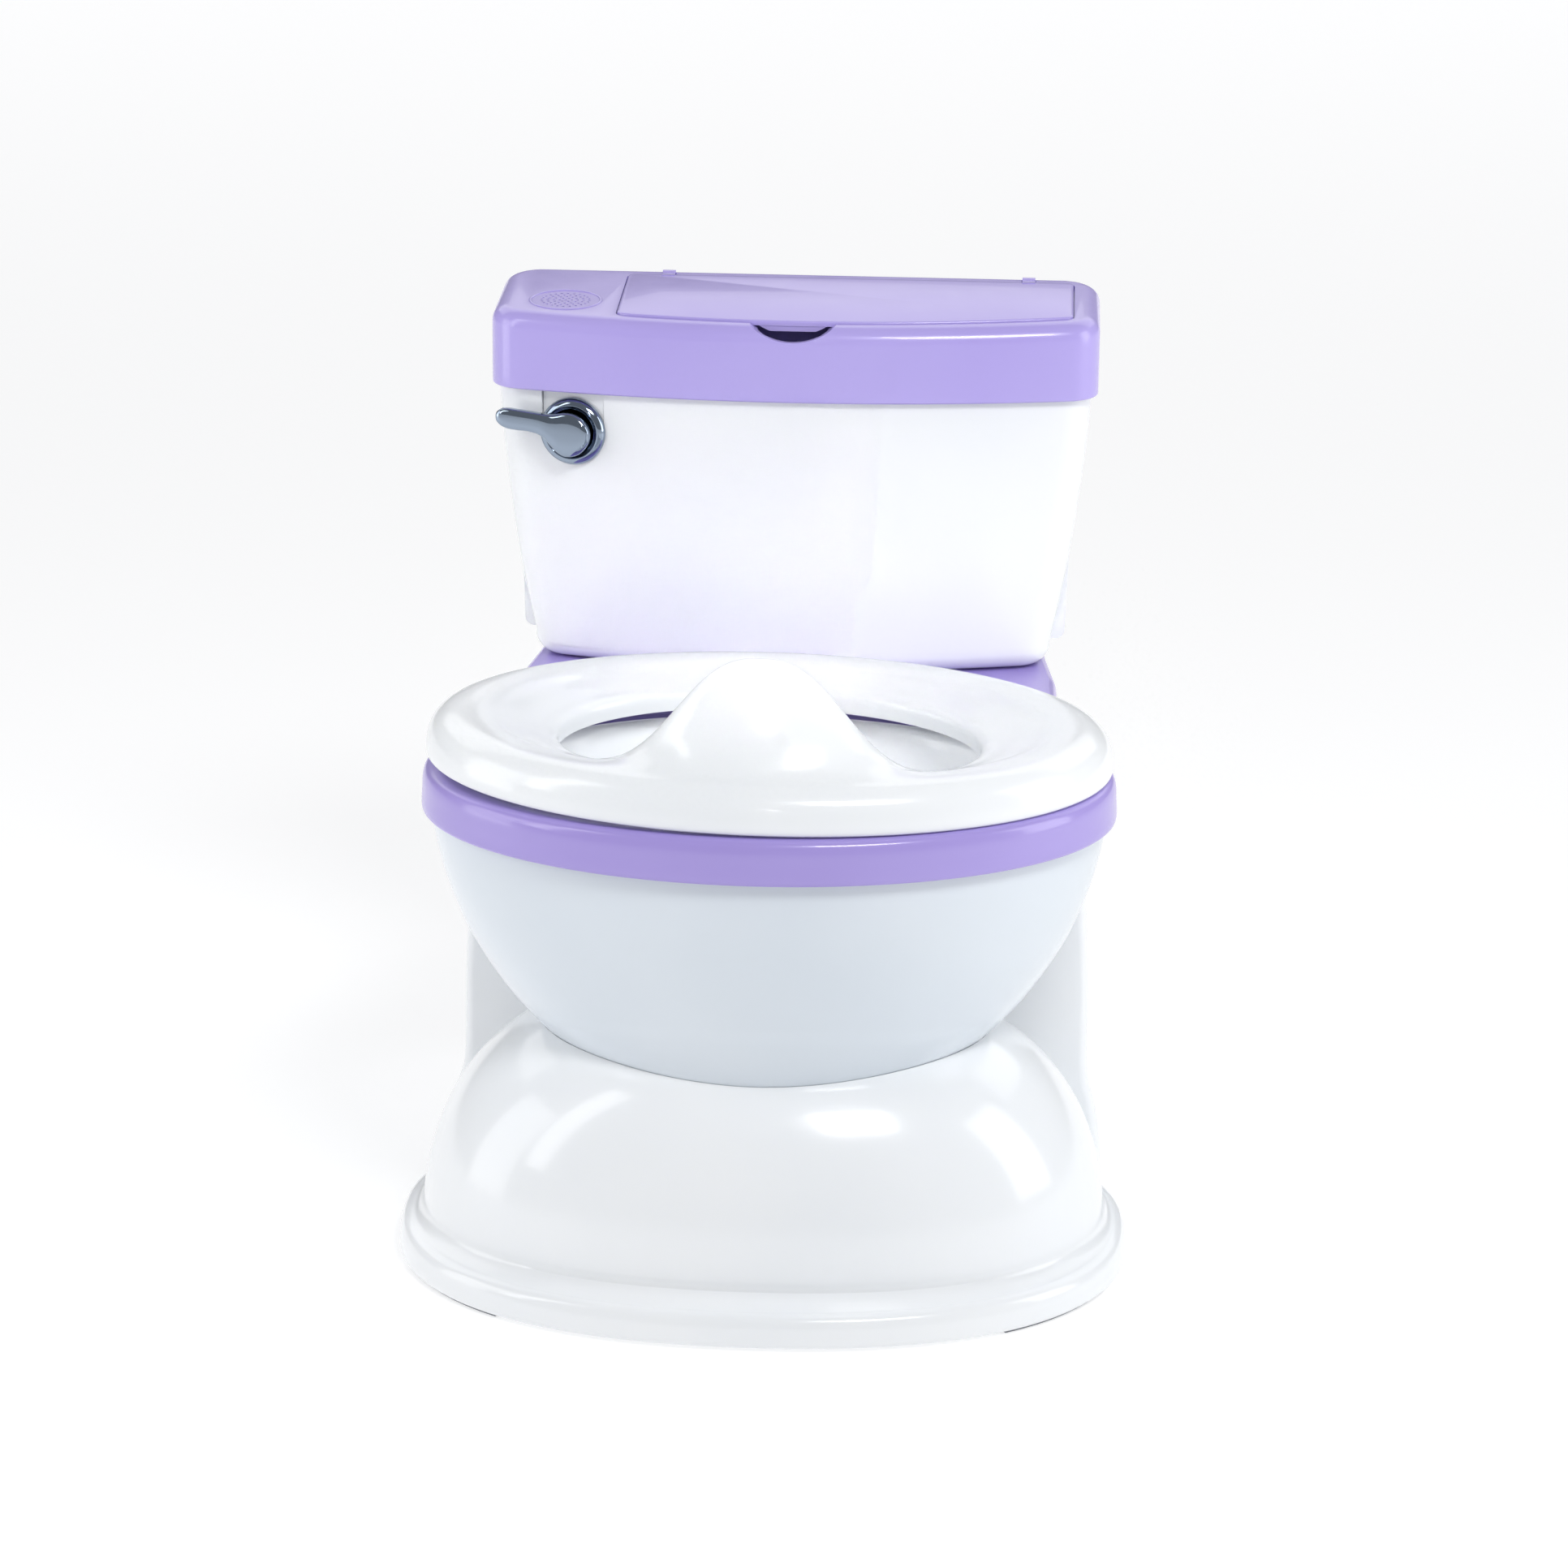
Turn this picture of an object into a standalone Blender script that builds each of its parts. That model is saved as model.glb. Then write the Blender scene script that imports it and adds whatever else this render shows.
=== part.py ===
"""Potty training chair shaped like a small toilet.

A base and bowl carry a deck ring, a lift-off pot and a lift-off seat with a splash guard. Behind them stands
a tank with a flush lever, a sound module and a wipes compartment under a hinged door.

Metres, +Z up, the front faces -Y, and +X points right as seen from the front. The origin lies on the floor
at the middle of the bounding box.
"""

import bmesh
import bpy
from math import atan, atan2, cos, pi, radians, sin, sqrt, tan
from mathutils import Matrix, Vector

# ------------------------------------------------------------------ driving dimensions
GAP = 0.0003                 # clearance between touching pieces
WALL = 0.0025                # moulded wall of the large shells
SEGMENTS = 40                # points round each large section

# Base: oval flange, dome skirt and rear body
FOOT_Z = 0.0015              # underside of the base, above the rubber pads
PAD_HEIGHT = 0.0012
FLANGE_CENTRE_Y = -0.0632
FLANGE_HALF_WIDTH = 0.1517
FLANGE_FRONT = 0.1168        # semi-depth towards the front
FLANGE_BACK = 0.105
FLANGE_TOP = 0.0150
OVAL_POWER = 2.27            # superellipse power of the flange and the dome
DOME_HALF_WIDTH = 0.1425
DOME_FRONT = 0.100
DOME_HEIGHT = 0.114
DOME_POWER = 2.6
BODY_FRONT_Y = 0.0168        # flat fronts of the two rear columns
BODY_BACK_Y = 0.1690
BASE_TOP = 0.1968

# Bowl and deck
BOWL_CENTRE_Y = -0.0531
RING_HALF_WIDTH = 0.1425
RING_HALF_DEPTH = 0.1021
RING_POWER = 2.0
DECK_BOTTOM = 0.1868
DECK_FLAT = 0.2002
DECK_LIP = 0.2050
DECK_PLATFORM = 0.2012
DECK_BACK_Y = 0.1725
POT_OPENING = (0.1080, 0.0745)

# Seat and pot
SEAT_OUTER = (0.1405, 0.0985)
SEAT_CREASE = (0.1165, 0.0780)
SEAT_OPENING = (0.0880, 0.0650)
SEAT_BOTTOM = 0.2053
SEAT_RIM_TOP = 0.2238
SEAT_RISE = 0.0027           # the loose seat stands a little askew: lift at its middle
SEAT_ROLL = 0.0132           # rise towards the left
SEAT_PITCH = 0.0188          # rise towards the back
GUARD_HEIGHT = 0.0486        # top of the splash guard above the rim
GUARD_SPREAD = 0.0360        # half-width of the guard at half its height
GUARD_POWER = 2.6            # flatness of the guard's crest
SEAT_SEGMENTS = 40
FRONT_DENSITY = 0.40         # how much closer the seat's points stand at the guard
POT_RIM = (0.1135, 0.0795)
POT_RIM_Z = 0.2006
POT_FLOOR_Z = 0.1120

# Tank and its lid
TANK_BOTTOM = 0.2015
TANK_TOP = 0.3450
TANK_BACK_Y = 0.1768
TANK_FRONT_Y = 0.0893
TANK_EDGE_RADIUS = 0.0095
TANK_CORNER = 0.016          # radius of its upright corners
GRIP_Y = (0.1380, 0.1415)    # the two grip fins on its sides
FRONT_BOW = 0.0150           # how far the tank's and the lid's front bulges
LID_BOTTOM = 0.3245
LID_HALF_WIDTH = 0.1317
LID_FRONT_Y = 0.0862
LID_BACK_Y = 0.1800
LID_EDGE_RADIUS = 0.0070
LID_CORNER = 0.017           # radius of its upright corners
LID_WALL = 0.0025
LID_TOP_FRONT = 0.3570       # the lid's top falls a little towards the front
LID_TOP_BACK = 0.3628

# Wipes door
DOOR_X = (-0.0765, 0.1200)
DOOR_FRONT_Y = 0.0950
DOOR_HINGE_Y = 0.1715
DOOR_BACK_Y = 0.1670
DOOR_THICKNESS = 0.0022
DOOR_PROUD = 0.0010
NOTCH_RADIUS = 0.0290
NOTCH_BOTTOM = 0.3508
LIP_BOTTOM = 0.3540          # the door's lip hangs over the notch
LIP_CLEARANCE = 0.0014
TRAY_X = (-0.0740, 0.1150)
TRAY_Y = (0.1070, 0.1660)
TRAY_FLOOR_Z = 0.2680
TRAY_WALL = 0.0018
KNUCKLE_X = (-0.0589, 0.1002)
KNUCKLE_LENGTH = 0.0057
KNUCKLE_RADIUS = 0.0030
PIN_RADIUS = 0.0009
PIN_LENGTH = 0.0120

# Flush lever and sound module
LEVER_X = -0.0949
LEVER_Z = 0.3069
PLATE_HALF_WIDTH = 0.0137
ESCUTCHEON_RADIUS = 0.0148
LEVER_DEPTH = -0.0085        # middle of the lever's arm, in front of the tank
SHAFT_RADIUS = 0.0030
CRANK_REACH = 0.0100
CRANK_NOSE = 0.0020
CRANK_DEPTH = 0.0132         # middle of the crank and the switch, behind the tank's front
PLUNGER_RADIUS = 0.0016
SPEAKER_CENTRE = (-0.1005, 0.1245)
SPEAKER_RADIUS = 0.0170
BATTERY_X = -0.0885
BATTERY_Z = (0.2265, 0.2735)
BATTERY_RADIUS = 0.00525
BATTERY_HALF = 0.0133         # half-width of the battery box
BATTERY_LENGTH = 0.0445
BATTERY_BOX_FRONT = TANK_BACK_Y - 0.0190
BOARD_SCREW_Z = (BATTERY_Z[0] + 0.010, BATTERY_Z[1] - 0.010)

# Screws
TANK_SCREWS = [(side * 0.070, y) for side in (-1, 1) for y in (0.112, 0.158)]
LID_SCREW_X = 0.0900
LID_SCREW_Z = 0.3335
LID_HEAD_DEPTH = 0.0013      # the lid screws' heads lie flush in counterbores
DECK_SCREW_X = 0.0750
DECK_SCREW_Z = 0.1920
SCREW_HOLE = 0.0016          # radius of a clearance hole for a large screw
BOARD_POST = (0.0028, 0.0012)   # radius of the board's posts and of the holes in them

COLOURS = {
    "white_plastic": ((0.90, 0.91, 0.92), 0.16, 0.0),
    "lilac_plastic": ((0.48, 0.42, 0.88), 0.18, 0.0),
    "chrome": ((0.72, 0.75, 0.80), 0.07, 1.0),
    "steel": ((0.60, 0.61, 0.62), 0.35, 1.0),
    "grey_rubber": ((0.30, 0.31, 0.33), 0.75, 0.0),
    "black_plastic": ((0.04, 0.04, 0.045), 0.45, 0.0),
    "circuit_green": ((0.03, 0.22, 0.09), 0.45, 0.0),
    "battery_wrap": ((0.10, 0.24, 0.42), 0.35, 0.0),
}


# ------------------------------------------------------------------ scene helpers
for old in list(bpy.data.objects):
    bpy.data.objects.remove(old)
parts = bpy.data.collections.new("potty_training_chair")
cutters = bpy.data.collections.new("cutters")
bpy.context.scene.collection.children.link(parts)
bpy.context.scene.collection.children.link(cutters)


def make_material(name):
    colour, roughness, metallic = COLOURS[name]
    material = bpy.data.materials.new(name)
    material.use_nodes = True
    shader = material.node_tree.nodes["Principled BSDF"]
    shader.inputs["Base Color"].default_value = (*colour, 1.0)
    shader.inputs["Roughness"].default_value = roughness
    shader.inputs["Metallic"].default_value = metallic
    material.diffuse_color = (*colour, 1.0)
    return material


MATERIALS = {name: make_material(name) for name in COLOURS}


def finish_mesh(mesh, bm):
    bmesh.ops.recalc_face_normals(bm, faces=bm.faces)
    bm.to_mesh(mesh)
    bm.free()
    mesh.shade_smooth()
    mesh.set_sharp_from_angle(angle=radians(35))


def add_object(name, bm, material=None, matrix=None):
    """A part where a material is given, else a cutter."""
    mesh = bpy.data.meshes.new(name)
    finish_mesh(mesh, bm)
    obj = bpy.data.objects.new(name, mesh)
    if material:
        mesh.materials.append(MATERIALS[material])
        parts.objects.link(obj)
    else:
        obj.hide_render = True
        obj.display_type = "WIRE"
        cutters.objects.link(obj)
    if matrix is not None:
        obj.matrix_world = matrix
    return obj


def cut(obj, other, operation="DIFFERENCE"):
    modifier = obj.modifiers.new(other.name, "BOOLEAN")
    modifier.operation = operation
    modifier.object = other
    modifier.solver = "EXACT"
    return obj


def join(obj, other):
    return cut(obj, other, "UNION")


def set_origin(obj, point):
    """Moves the object's origin to a point, and leaves its shape where it is."""
    obj.data.transform(Matrix.Translation(-Vector(point)))
    obj.matrix_world = Matrix.Translation(Vector(point))
    return obj


def bevel(obj, width, segments=2, angle=40):
    modifier = obj.modifiers.new("rounded_edges", "BEVEL")
    modifier.width = width
    modifier.segments = segments
    modifier.angle_limit = radians(angle)
    return obj


# ------------------------------------------------------------------ shape helpers
def box_mesh(low, high):
    bm = bmesh.new()
    bmesh.ops.create_cube(bm, size=1.0)
    low, high = Vector(low), Vector(high)
    for vert in bm.verts:
        vert.co = Vector(low[i] + (vert.co[i] + 0.5) * (high[i] - low[i]) for i in range(3))
    return bm


AXIS_TURN = {"Z": Matrix(), "Y": Matrix.Rotation(-pi / 2, 4, "X"), "X": Matrix.Rotation(pi / 2, 4, "Y")}


def cylinder_mesh(start, length, radius, axis="Z", sides=20, radius_end=None):
    """A cylinder or cone from start along +axis."""
    bm = bmesh.new()
    bmesh.ops.create_cone(
        bm, cap_ends=True, segments=sides, depth=length,
        radius1=radius, radius2=radius if radius_end is None else radius_end,
    )
    place = Matrix.Translation(Vector(start)) @ AXIS_TURN[axis] @ Matrix.Translation((0, 0, length / 2))
    bmesh.ops.transform(bm, matrix=place, verts=bm.verts)
    return bm


def loft_mesh(rings, closed=False):
    """Skins rings of equal length, and caps the first and the last, or joins them where closed is true."""
    bm = bmesh.new()
    rows = [[bm.verts.new(point) for point in ring] for ring in rings]
    count = len(rows[0])
    pairs = list(zip(rows, rows[1:] + rows[:1])) if closed else list(zip(rows, rows[1:]))
    for lower, upper in pairs:
        for i in range(count):
            j = (i + 1) % count
            bm.faces.new((lower[i], lower[j], upper[j], upper[i]))
    if not closed:
        bm.faces.new(list(reversed(rows[0])))
        bm.faces.new(rows[-1])
    return bm


def signed_power(value, power):
    return (1 if value >= 0 else -1) * abs(value) ** power


def oval(half_width, front, back, centre_y, z, power=2.0, count=SEGMENTS):
    """A superellipse section with its own depth in front of and behind the centre."""
    points = []
    for i in range(count):
        angle = 2 * pi * i / count
        depth = back if sin(angle) > 0 else front
        x = half_width * signed_power(cos(angle), 2 / power)
        y = depth * signed_power(sin(angle), 2 / power)
        points.append(Vector((x, centre_y + y, z)))
    return points


def rounded_outline(corners, radii, steps=5):
    """A closed plan outline with each corner rounded by an arc."""
    points = []
    count = len(corners)
    for i in range(count):
        here = Vector(corners[i])
        to_last = (Vector(corners[i - 1]) - here).normalized()
        to_next = (Vector(corners[(i + 1) % count]) - here).normalized()
        radius = radii[i]
        if radius <= 0:
            points.append(here)
            continue
        half = to_last.angle(to_next) / 2
        centre = here + (to_last + to_next).normalized() * radius / sin(half)
        start = here + to_last * radius / tan(half) - centre
        end = here + to_next * radius / tan(half) - centre
        sweep = atan2(start.x * end.y - start.y * end.x, start.dot(end))
        for k in range(steps + 1):
            turn = Matrix.Rotation(sweep * k / steps, 2)
            points.append(centre + turn @ start)
    return points


def bowed_outline(half_width, front_y, back_y, radius, bow=FRONT_BOW, steps=3, front_steps=8):
    """A rounded box outline whose front bulges by bow, counter-clockwise from the front left."""
    end_x = half_width - radius
    slope = atan(2 * bow / end_x)
    centre_y = front_y + bow + radius * cos(slope)
    edge_x = end_x + radius * sin(slope)
    points = []
    for k in range(1, front_steps):
        x = edge_x * (2 * k / front_steps - 1)
        points.append(Vector((x, centre_y - radius * cos(slope) - bow * (1 - (x / edge_x) ** 2))))
    back = back_y - radius
    for side, middle_y, start, sweep in (
        (1, centre_y, slope - pi / 2, pi / 2 - slope), (1, back, 0, pi / 2),
        (-1, back, pi / 2, pi / 2), (-1, centre_y, pi, pi / 2 - slope),
    ):
        for k in range(steps + 1):
            angle = start + sweep * k / steps
            points.append(Vector((side * end_x + radius * cos(angle), middle_y + radius * sin(angle))))
    return points


def at_height(outline, z):
    return [Vector((p.x, p.y, z)) for p in outline]


def between(table, z):
    """Straight-line reading of a table of (z, value) pairs."""
    for (z0, v0), (z1, v1) in zip(table, table[1:]):
        if z <= z1:
            return v0 + (v1 - v0) * (z - z0) / (z1 - z0)
    return table[-1][1]


def turned_part(name, profile, material, matrix=None, steps=24):
    """Turns a profile of (radius, z) that runs from the top of the axis round the outside to the bottom."""
    bm = bmesh.new()
    verts = [bm.verts.new((radius, 0, z)) for radius, z in profile]
    for first, second in zip(verts, verts[1:]):
        bm.edges.new((first, second))
    mesh = bpy.data.meshes.new(name)
    bm.to_mesh(mesh)
    bm.free()
    obj = bpy.data.objects.new(name, mesh)
    mesh.materials.append(MATERIALS[material])
    parts.objects.link(obj)
    screw = obj.modifiers.new("turn", "SCREW")
    screw.steps = steps
    screw.render_steps = steps
    screw.use_merge_vertices = True
    screw.merge_threshold = 0.00001
    screw.use_smooth_shade = True
    if matrix is not None:
        obj.matrix_world = matrix
    return obj


def screw_part(name, head_centre, direction, length, head_radius=0.0028, head_height=0.0018, shank=0.0013):
    """A pan-head screw: its head meets the shank at head_centre, and direction points along the shank."""
    profile = [
        (0.0, head_height), (head_radius * 0.65, head_height * 0.92), (head_radius, head_height * 0.35),
        (head_radius, 0.0), (shank, 0.0), (shank, -length), (0.0, -length),
    ]
    turn = Vector((0, 0, -1)).rotation_difference(Vector(direction)).to_matrix().to_4x4()
    return turned_part(name, profile, "steel", Matrix.Translation(Vector(head_centre)) @ turn, steps=10)


# ------------------------------------------------------------------ bowl
BOWL_PROFILE = [             # z, half-width, half-depth
    (0.0840, 0.0640, 0.0560), (0.0850, 0.0790, 0.0690), (0.0897, 0.0863, 0.0752), (0.0973, 0.0935, 0.0810),
    (0.1090, 0.1055, 0.0858), (0.1230, 0.1160, 0.0895), (0.1375, 0.1245, 0.0924), (0.1510, 0.1300, 0.0945),
    (0.1650, 0.1345, 0.0960), (0.1800, 0.1377, 0.0971), (0.1968, 0.1388, 0.0984),
]


def bowl_rings(inset, lift=0.0):
    return [
        oval(width - inset, depth - inset, depth - inset, BOWL_CENTRE_Y, z + lift)
        for z, width, depth in BOWL_PROFILE
    ]


def make_bowl():
    outer = bowl_rings(0.0)
    inner = bowl_rings(WALL)[1::2] + bowl_rings(WALL)[-1:]
    for ring, lift in ((inner[0], WALL), (inner[1], WALL / 2)):
        for point in ring:
            point.z += lift
    return add_object("bowl_shell", loft_mesh(outer + inner[::-1]), "white_plastic")


# ------------------------------------------------------------------ base
BODY_WIDTHS = [              # z, half-width at the column fronts
    (0.0000, 0.1430), (0.0170, 0.1420), (0.0350, 0.1390), (0.0450, 0.1362), (0.0900, 0.1350),
    (0.1250, 0.1330), (0.1600, 0.1310), (0.1850, 0.1275), (0.1860, 0.1236), (0.1968, 0.1236),
]
BODY_TAPER = [(0.918, 0.065), (0.911, 0.099), (0.876, 0.140)]   # share of the front half-width, y
BODY_BACK_SHARE = 0.86
DECK_TAIL = [(0.1410, -0.0450), (0.1320, 0.0150), (0.1182, 0.0600), (0.1173, 0.0990), (0.1126, 0.1400)]
DECK_BACK_HALF_WIDTH = 0.1105
REAR_RADIUS = 0.020


def mirrored_outline(right, radii):
    """A rounded plan from its right-hand corners, given from the front to the back."""
    left = [(-x, y) for x, y in reversed(right)]
    return rounded_outline(right + left, radii + radii[::-1], steps=3)


def body_outline(half_width, front_y, back_y, inset=0.0):
    """Plan of the rear body, narrowing towards the back."""
    right = [(half_width - inset, front_y)]
    right += [(half_width * share - inset, y) for share, y in BODY_TAPER]
    right += [(half_width * BODY_BACK_SHARE - inset, back_y - inset)]
    return mirrored_outline(right, [0.004, 0.03, 0.03, 0.03, REAR_RADIUS - inset])


def deck_outline(inset):
    """Plan of the deck's tail, from inside the ring to the rear edge."""
    right = [(x - inset, y) for x, y in DECK_TAIL] + [(DECK_BACK_HALF_WIDTH - inset, DECK_BACK_Y - inset)]
    return mirrored_outline(right, [0.004, 0.10, 0.06, 0.03, 0.03, REAR_RADIUS - inset])


def dome_factor(z):
    return (1 - (z / DOME_HEIGHT) ** DOME_POWER) ** (1 / DOME_POWER)


def dome_ring(z, inset=0.0):
    share = dome_factor(min(max(z, 0.0), 0.1125))
    return oval(
        DOME_HALF_WIDTH * share - inset, DOME_FRONT * share - inset, FLANGE_BACK * 0.96 * share - inset,
        FLANGE_CENTRE_Y, z, OVAL_POWER,
    )


def flange_ring(z, inset):
    return oval(
        FLANGE_HALF_WIDTH - inset, FLANGE_FRONT - inset, FLANGE_BACK - inset, FLANGE_CENTRE_Y, z, OVAL_POWER
    )


def make_base():
    levels = [0.019, 0.026, 0.042, 0.058, 0.072, 0.084, 0.094, 0.102, 0.107]
    rings = [flange_ring(z, inset) for z, inset in (
        (FOOT_Z, 0.0008), (FOOT_Z + 0.001, 0.0), (0.0105, 0.0006), (0.0132, 0.0020),
        (FLANGE_TOP - 0.0004, 0.0045), (FLANGE_TOP, 0.0070),
    )]
    rings += [dome_ring(z) for z in levels]
    base = add_object("base_shell", loft_mesh(rings), "white_plastic")

    body = [
        at_height(body_outline(between(BODY_WIDTHS, z), BODY_FRONT_Y, BODY_BACK_Y), z)
        for z in [FOOT_Z] + [z for z, _ in BODY_WIDTHS[1:]]
    ]
    join(base, add_object("rear_body", loft_mesh(body)))

    hollow = [dome_ring(z, WALL) for z in [-0.01] + levels[1:-1:2] + levels[-2:-1]]
    cut(base, add_object("dome_hollow", loft_mesh(hollow)))

    foot_band, wall_top = 0.013, BASE_TOP - WALL
    insets = [(-0.01, foot_band), (0.006, foot_band), (0.008, WALL)]
    insets += [(z, WALL) for z, _ in BODY_WIDTHS[2:-2]] + [(wall_top, WALL)]
    inner = []
    for z, inset in insets:
        width = between(BODY_WIDTHS, max(z, 0.0))
        inner.append(at_height(body_outline(width, BODY_FRONT_Y + inset, BODY_BACK_Y, inset), z))
    cut(base, add_object("body_hollow", loft_mesh(inner)))

    clearance = bowl_rings(-GAP)
    clearance.append([Vector((p.x, p.y, p.z + 0.01)) for p in clearance[-1]])
    for ring in clearance[:2]:
        for point in ring:
            point.z -= GAP
    cut(base, add_object("bowl_clearance", loft_mesh(clearance)))
    for x, y in TANK_SCREWS:
        cut(base, add_object("driver_hole", cylinder_mesh((x, y, wall_top - 0.002), 0.008, 0.0042, sides=12)))
    return base


def make_pads():
    """Curved anti-slip strips under the flange, and two straight ones under the rear body."""
    section = ((0.0105, 0), (0.0025, 0), (0.0025, PAD_HEIGHT), (0.0105, PAD_HEIGHT))
    steps, spread = 8, 30
    for name, middle in (("pad_front_left", 214), ("pad_front_right", 326)):
        rings = []
        for k in range(steps + 1):
            angle = radians(middle + spread * (k / steps - 0.5))
            direction = Vector((cos(angle), sin(angle), 0))
            edge = Vector((
                FLANGE_HALF_WIDTH * signed_power(cos(angle), 2 / OVAL_POWER),
                FLANGE_CENTRE_Y + FLANGE_FRONT * signed_power(sin(angle), 2 / OVAL_POWER), 0,
            ))
            rings.append([edge - direction * reach + Vector((0, 0, z)) for reach, z in section])
        add_object(name, loft_mesh(rings), "grey_rubber")
    for name, middle in (("pad_rear_left", -0.085), ("pad_rear_right", 0.085)):
        low = (middle - 0.018, BODY_BACK_Y - 0.0105, 0)
        high = (middle + 0.018, BODY_BACK_Y - 0.0030, PAD_HEIGHT)
        bevel(add_object(name, box_mesh(low, high), "grey_rubber"), 0.0004, 1)


# ------------------------------------------------------------------ deck
def ring_section(inset, z):
    return oval(
        RING_HALF_WIDTH - inset, RING_HALF_DEPTH - inset, RING_HALF_DEPTH - inset,
        BOWL_CENTRE_Y, z, RING_POWER,
    )


def make_deck():
    ring = [
        (0.0, DECK_BOTTOM), (0.0006, 0.2008), (0.0018, 0.2036), (0.0046, DECK_LIP), (0.0115, DECK_LIP),
        (0.0140, DECK_FLAT),
    ]
    deck = add_object("deck", loft_mesh([ring_section(inset, z) for inset, z in ring]), "lilac_plastic")
    tail = [(0.0, DECK_BOTTOM), (0.0004, 0.1975), (0.0014, 0.1998), (0.0036, DECK_PLATFORM)]
    join(deck, add_object("deck_tail", loft_mesh([at_height(deck_outline(inset), z) for inset, z in tail])))
    ceiling = DECK_FLAT - WALL
    cut(deck, add_object("deck_tail_hollow", loft_mesh([
        at_height(deck_outline(WALL), z) for z in (DECK_BOTTOM - 0.01, ceiling)
    ])))
    cut(deck, add_object("deck_ring_hollow", loft_mesh([
        ring_section(WALL, z) for z in (DECK_BOTTOM - 0.01, ceiling)
    ])))
    cut(deck, add_object("seat_well", loft_mesh([ring_section(inset, z) for inset, z in (
        (0.0140, DECK_FLAT), (0.0115, DECK_LIP), (0.0115, DECK_LIP + 0.01),
    )])))
    width, depth = POT_OPENING
    cut(deck, add_object("pot_opening", loft_mesh([
        oval(width, depth, depth, BOWL_CENTRE_Y, z) for z in (0.19, 0.21)
    ])))
    return deck


# ------------------------------------------------------------------ pot and seat
def make_pot():
    wall, floor = 0.0022, POT_FLOOR_Z
    rim_width, rim_depth = POT_RIM
    top = POT_RIM_Z + 0.0025
    outside = [               # z, half-width, half-depth
        (floor, 0.0640, 0.0440), (floor + 0.002, 0.0740, 0.0520), (floor + 0.009, 0.0815, 0.0580),
        (0.1500, 0.0930, 0.0655), (0.1850, 0.1030, 0.0712), (POT_RIM_Z, 0.1066, 0.0732),
    ]
    rim = [
        (POT_RIM_Z, rim_width - 0.0008, rim_depth - 0.0008), (POT_RIM_Z + 0.0012, rim_width, rim_depth),
        (top, rim_width - 0.0010, rim_depth - 0.0010), (top, 0.1066, 0.0732),
    ]
    inside = [
        (0.2000, 0.1066 - wall, 0.0732 - wall), (0.1850, 0.1030 - wall, 0.0712 - wall),
        (0.1500, 0.0930 - wall, 0.0655 - wall), (floor + 0.0105, 0.0815 - wall, 0.0580 - wall),
        (floor + 0.0042, 0.0725, 0.0510), (floor + wall, 0.0630, 0.0430),
    ]
    rings = [oval(width, depth, depth, BOWL_CENTRE_Y, z) for z, width, depth in outside + rim + inside]
    return set_origin(add_object("pot", loft_mesh(rings), "white_plastic"), (0, BOWL_CENTRE_Y, POT_RIM_Z))


def guard_share(x, y):
    """Share of the splash guard's height at a plan position: 1 at the front centre, 0 well to the sides."""
    if y > BOWL_CENTRE_Y:
        return 0.0
    return 0.5 ** (abs(x / GUARD_SPREAD) ** GUARD_POWER)


def seat_ring(crease_share, open_share, inset, z, guard=0.0, lean=0.0):
    """A seat section blended from the outer edge, the crease and the opening.

    Its share of the guard lifts it by guard and leans it back towards the opening.
    """
    shares = (1 - crease_share - open_share, crease_share, open_share)
    width, depth = (
        sum(share * size[i] for share, size in zip(shares, (SEAT_OUTER, SEAT_CREASE, SEAT_OPENING))) - inset
        for i in range(2)
    )
    points = []
    for i in range(SEAT_SEGMENTS):
        angle = 2 * pi * i / SEAT_SEGMENTS
        angle -= FRONT_DENSITY * cos(angle)
        x, y = width * cos(angle), BOWL_CENTRE_Y + depth * sin(angle)
        share = guard_share(x, y)
        lift = SEAT_RISE - SEAT_ROLL * x + SEAT_PITCH * (y - BOWL_CENTRE_Y)
        points.append(Vector((x, y + lean * share, z + guard * share + lift)))
    return points


def make_seat():
    height = GUARD_HEIGHT
    rings = [
        seat_ring(0, 0, 0.0014, SEAT_BOTTOM),
        seat_ring(0, 0, 0.0002, SEAT_BOTTOM + 0.0010),
        seat_ring(0, 0, 0.0000, 0.2110),
        seat_ring(0, 0, 0.0022, 0.2180),
        seat_ring(0, 0, 0.0070, 0.2225, height * 0.01),
        seat_ring(0, 0, 0.0120, SEAT_RIM_TOP, height * 0.05),
        seat_ring(1, 0, 0.0, 0.2230, height * 0.34),
        seat_ring(0.72, 0.28, 0.0, 0.2205, height * 0.70, 0.0015),
        seat_ring(0.45, 0.55, 0.0, 0.2185, height * 0.95, 0.0015),
        seat_ring(0.22, 0.78, 0.0, 0.2165, height * 1.06, 0.0015),
        seat_ring(0.04, 0.96, 0.0, 0.2150, height * 1.04, 0.0035),
        seat_ring(0, 1, 0.0012, 0.2128, height * 0.90, 0.0050),
        seat_ring(0, 1, 0.0010, 0.2065),
        seat_ring(0, 1, -0.0018, 0.2065),
        seat_ring(0.04, 0.96, -0.0010, 0.2122, height * 0.88, 0.0028),
        seat_ring(0.35, 0.65, 0.0, 0.2152, height * 0.97, 0.0012),
        seat_ring(0.72, 0.28, 0.0, 0.2178, height * 0.64, 0.0005),
        seat_ring(1, 0, 0.0, 0.2202, height * 0.29),
        seat_ring(0, 0, 0.0115, 0.2210, height * 0.03),
        seat_ring(0, 0, 0.0044, 0.2160),
        seat_ring(0, 0, 0.0030, 0.2100),
        seat_ring(0, 0, 0.0080, SEAT_BOTTOM),
    ]
    seat = add_object("seat", loft_mesh(rings, closed=True), "white_plastic")
    return set_origin(seat, (0, BOWL_CENTRE_Y, SEAT_BOTTOM))


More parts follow.
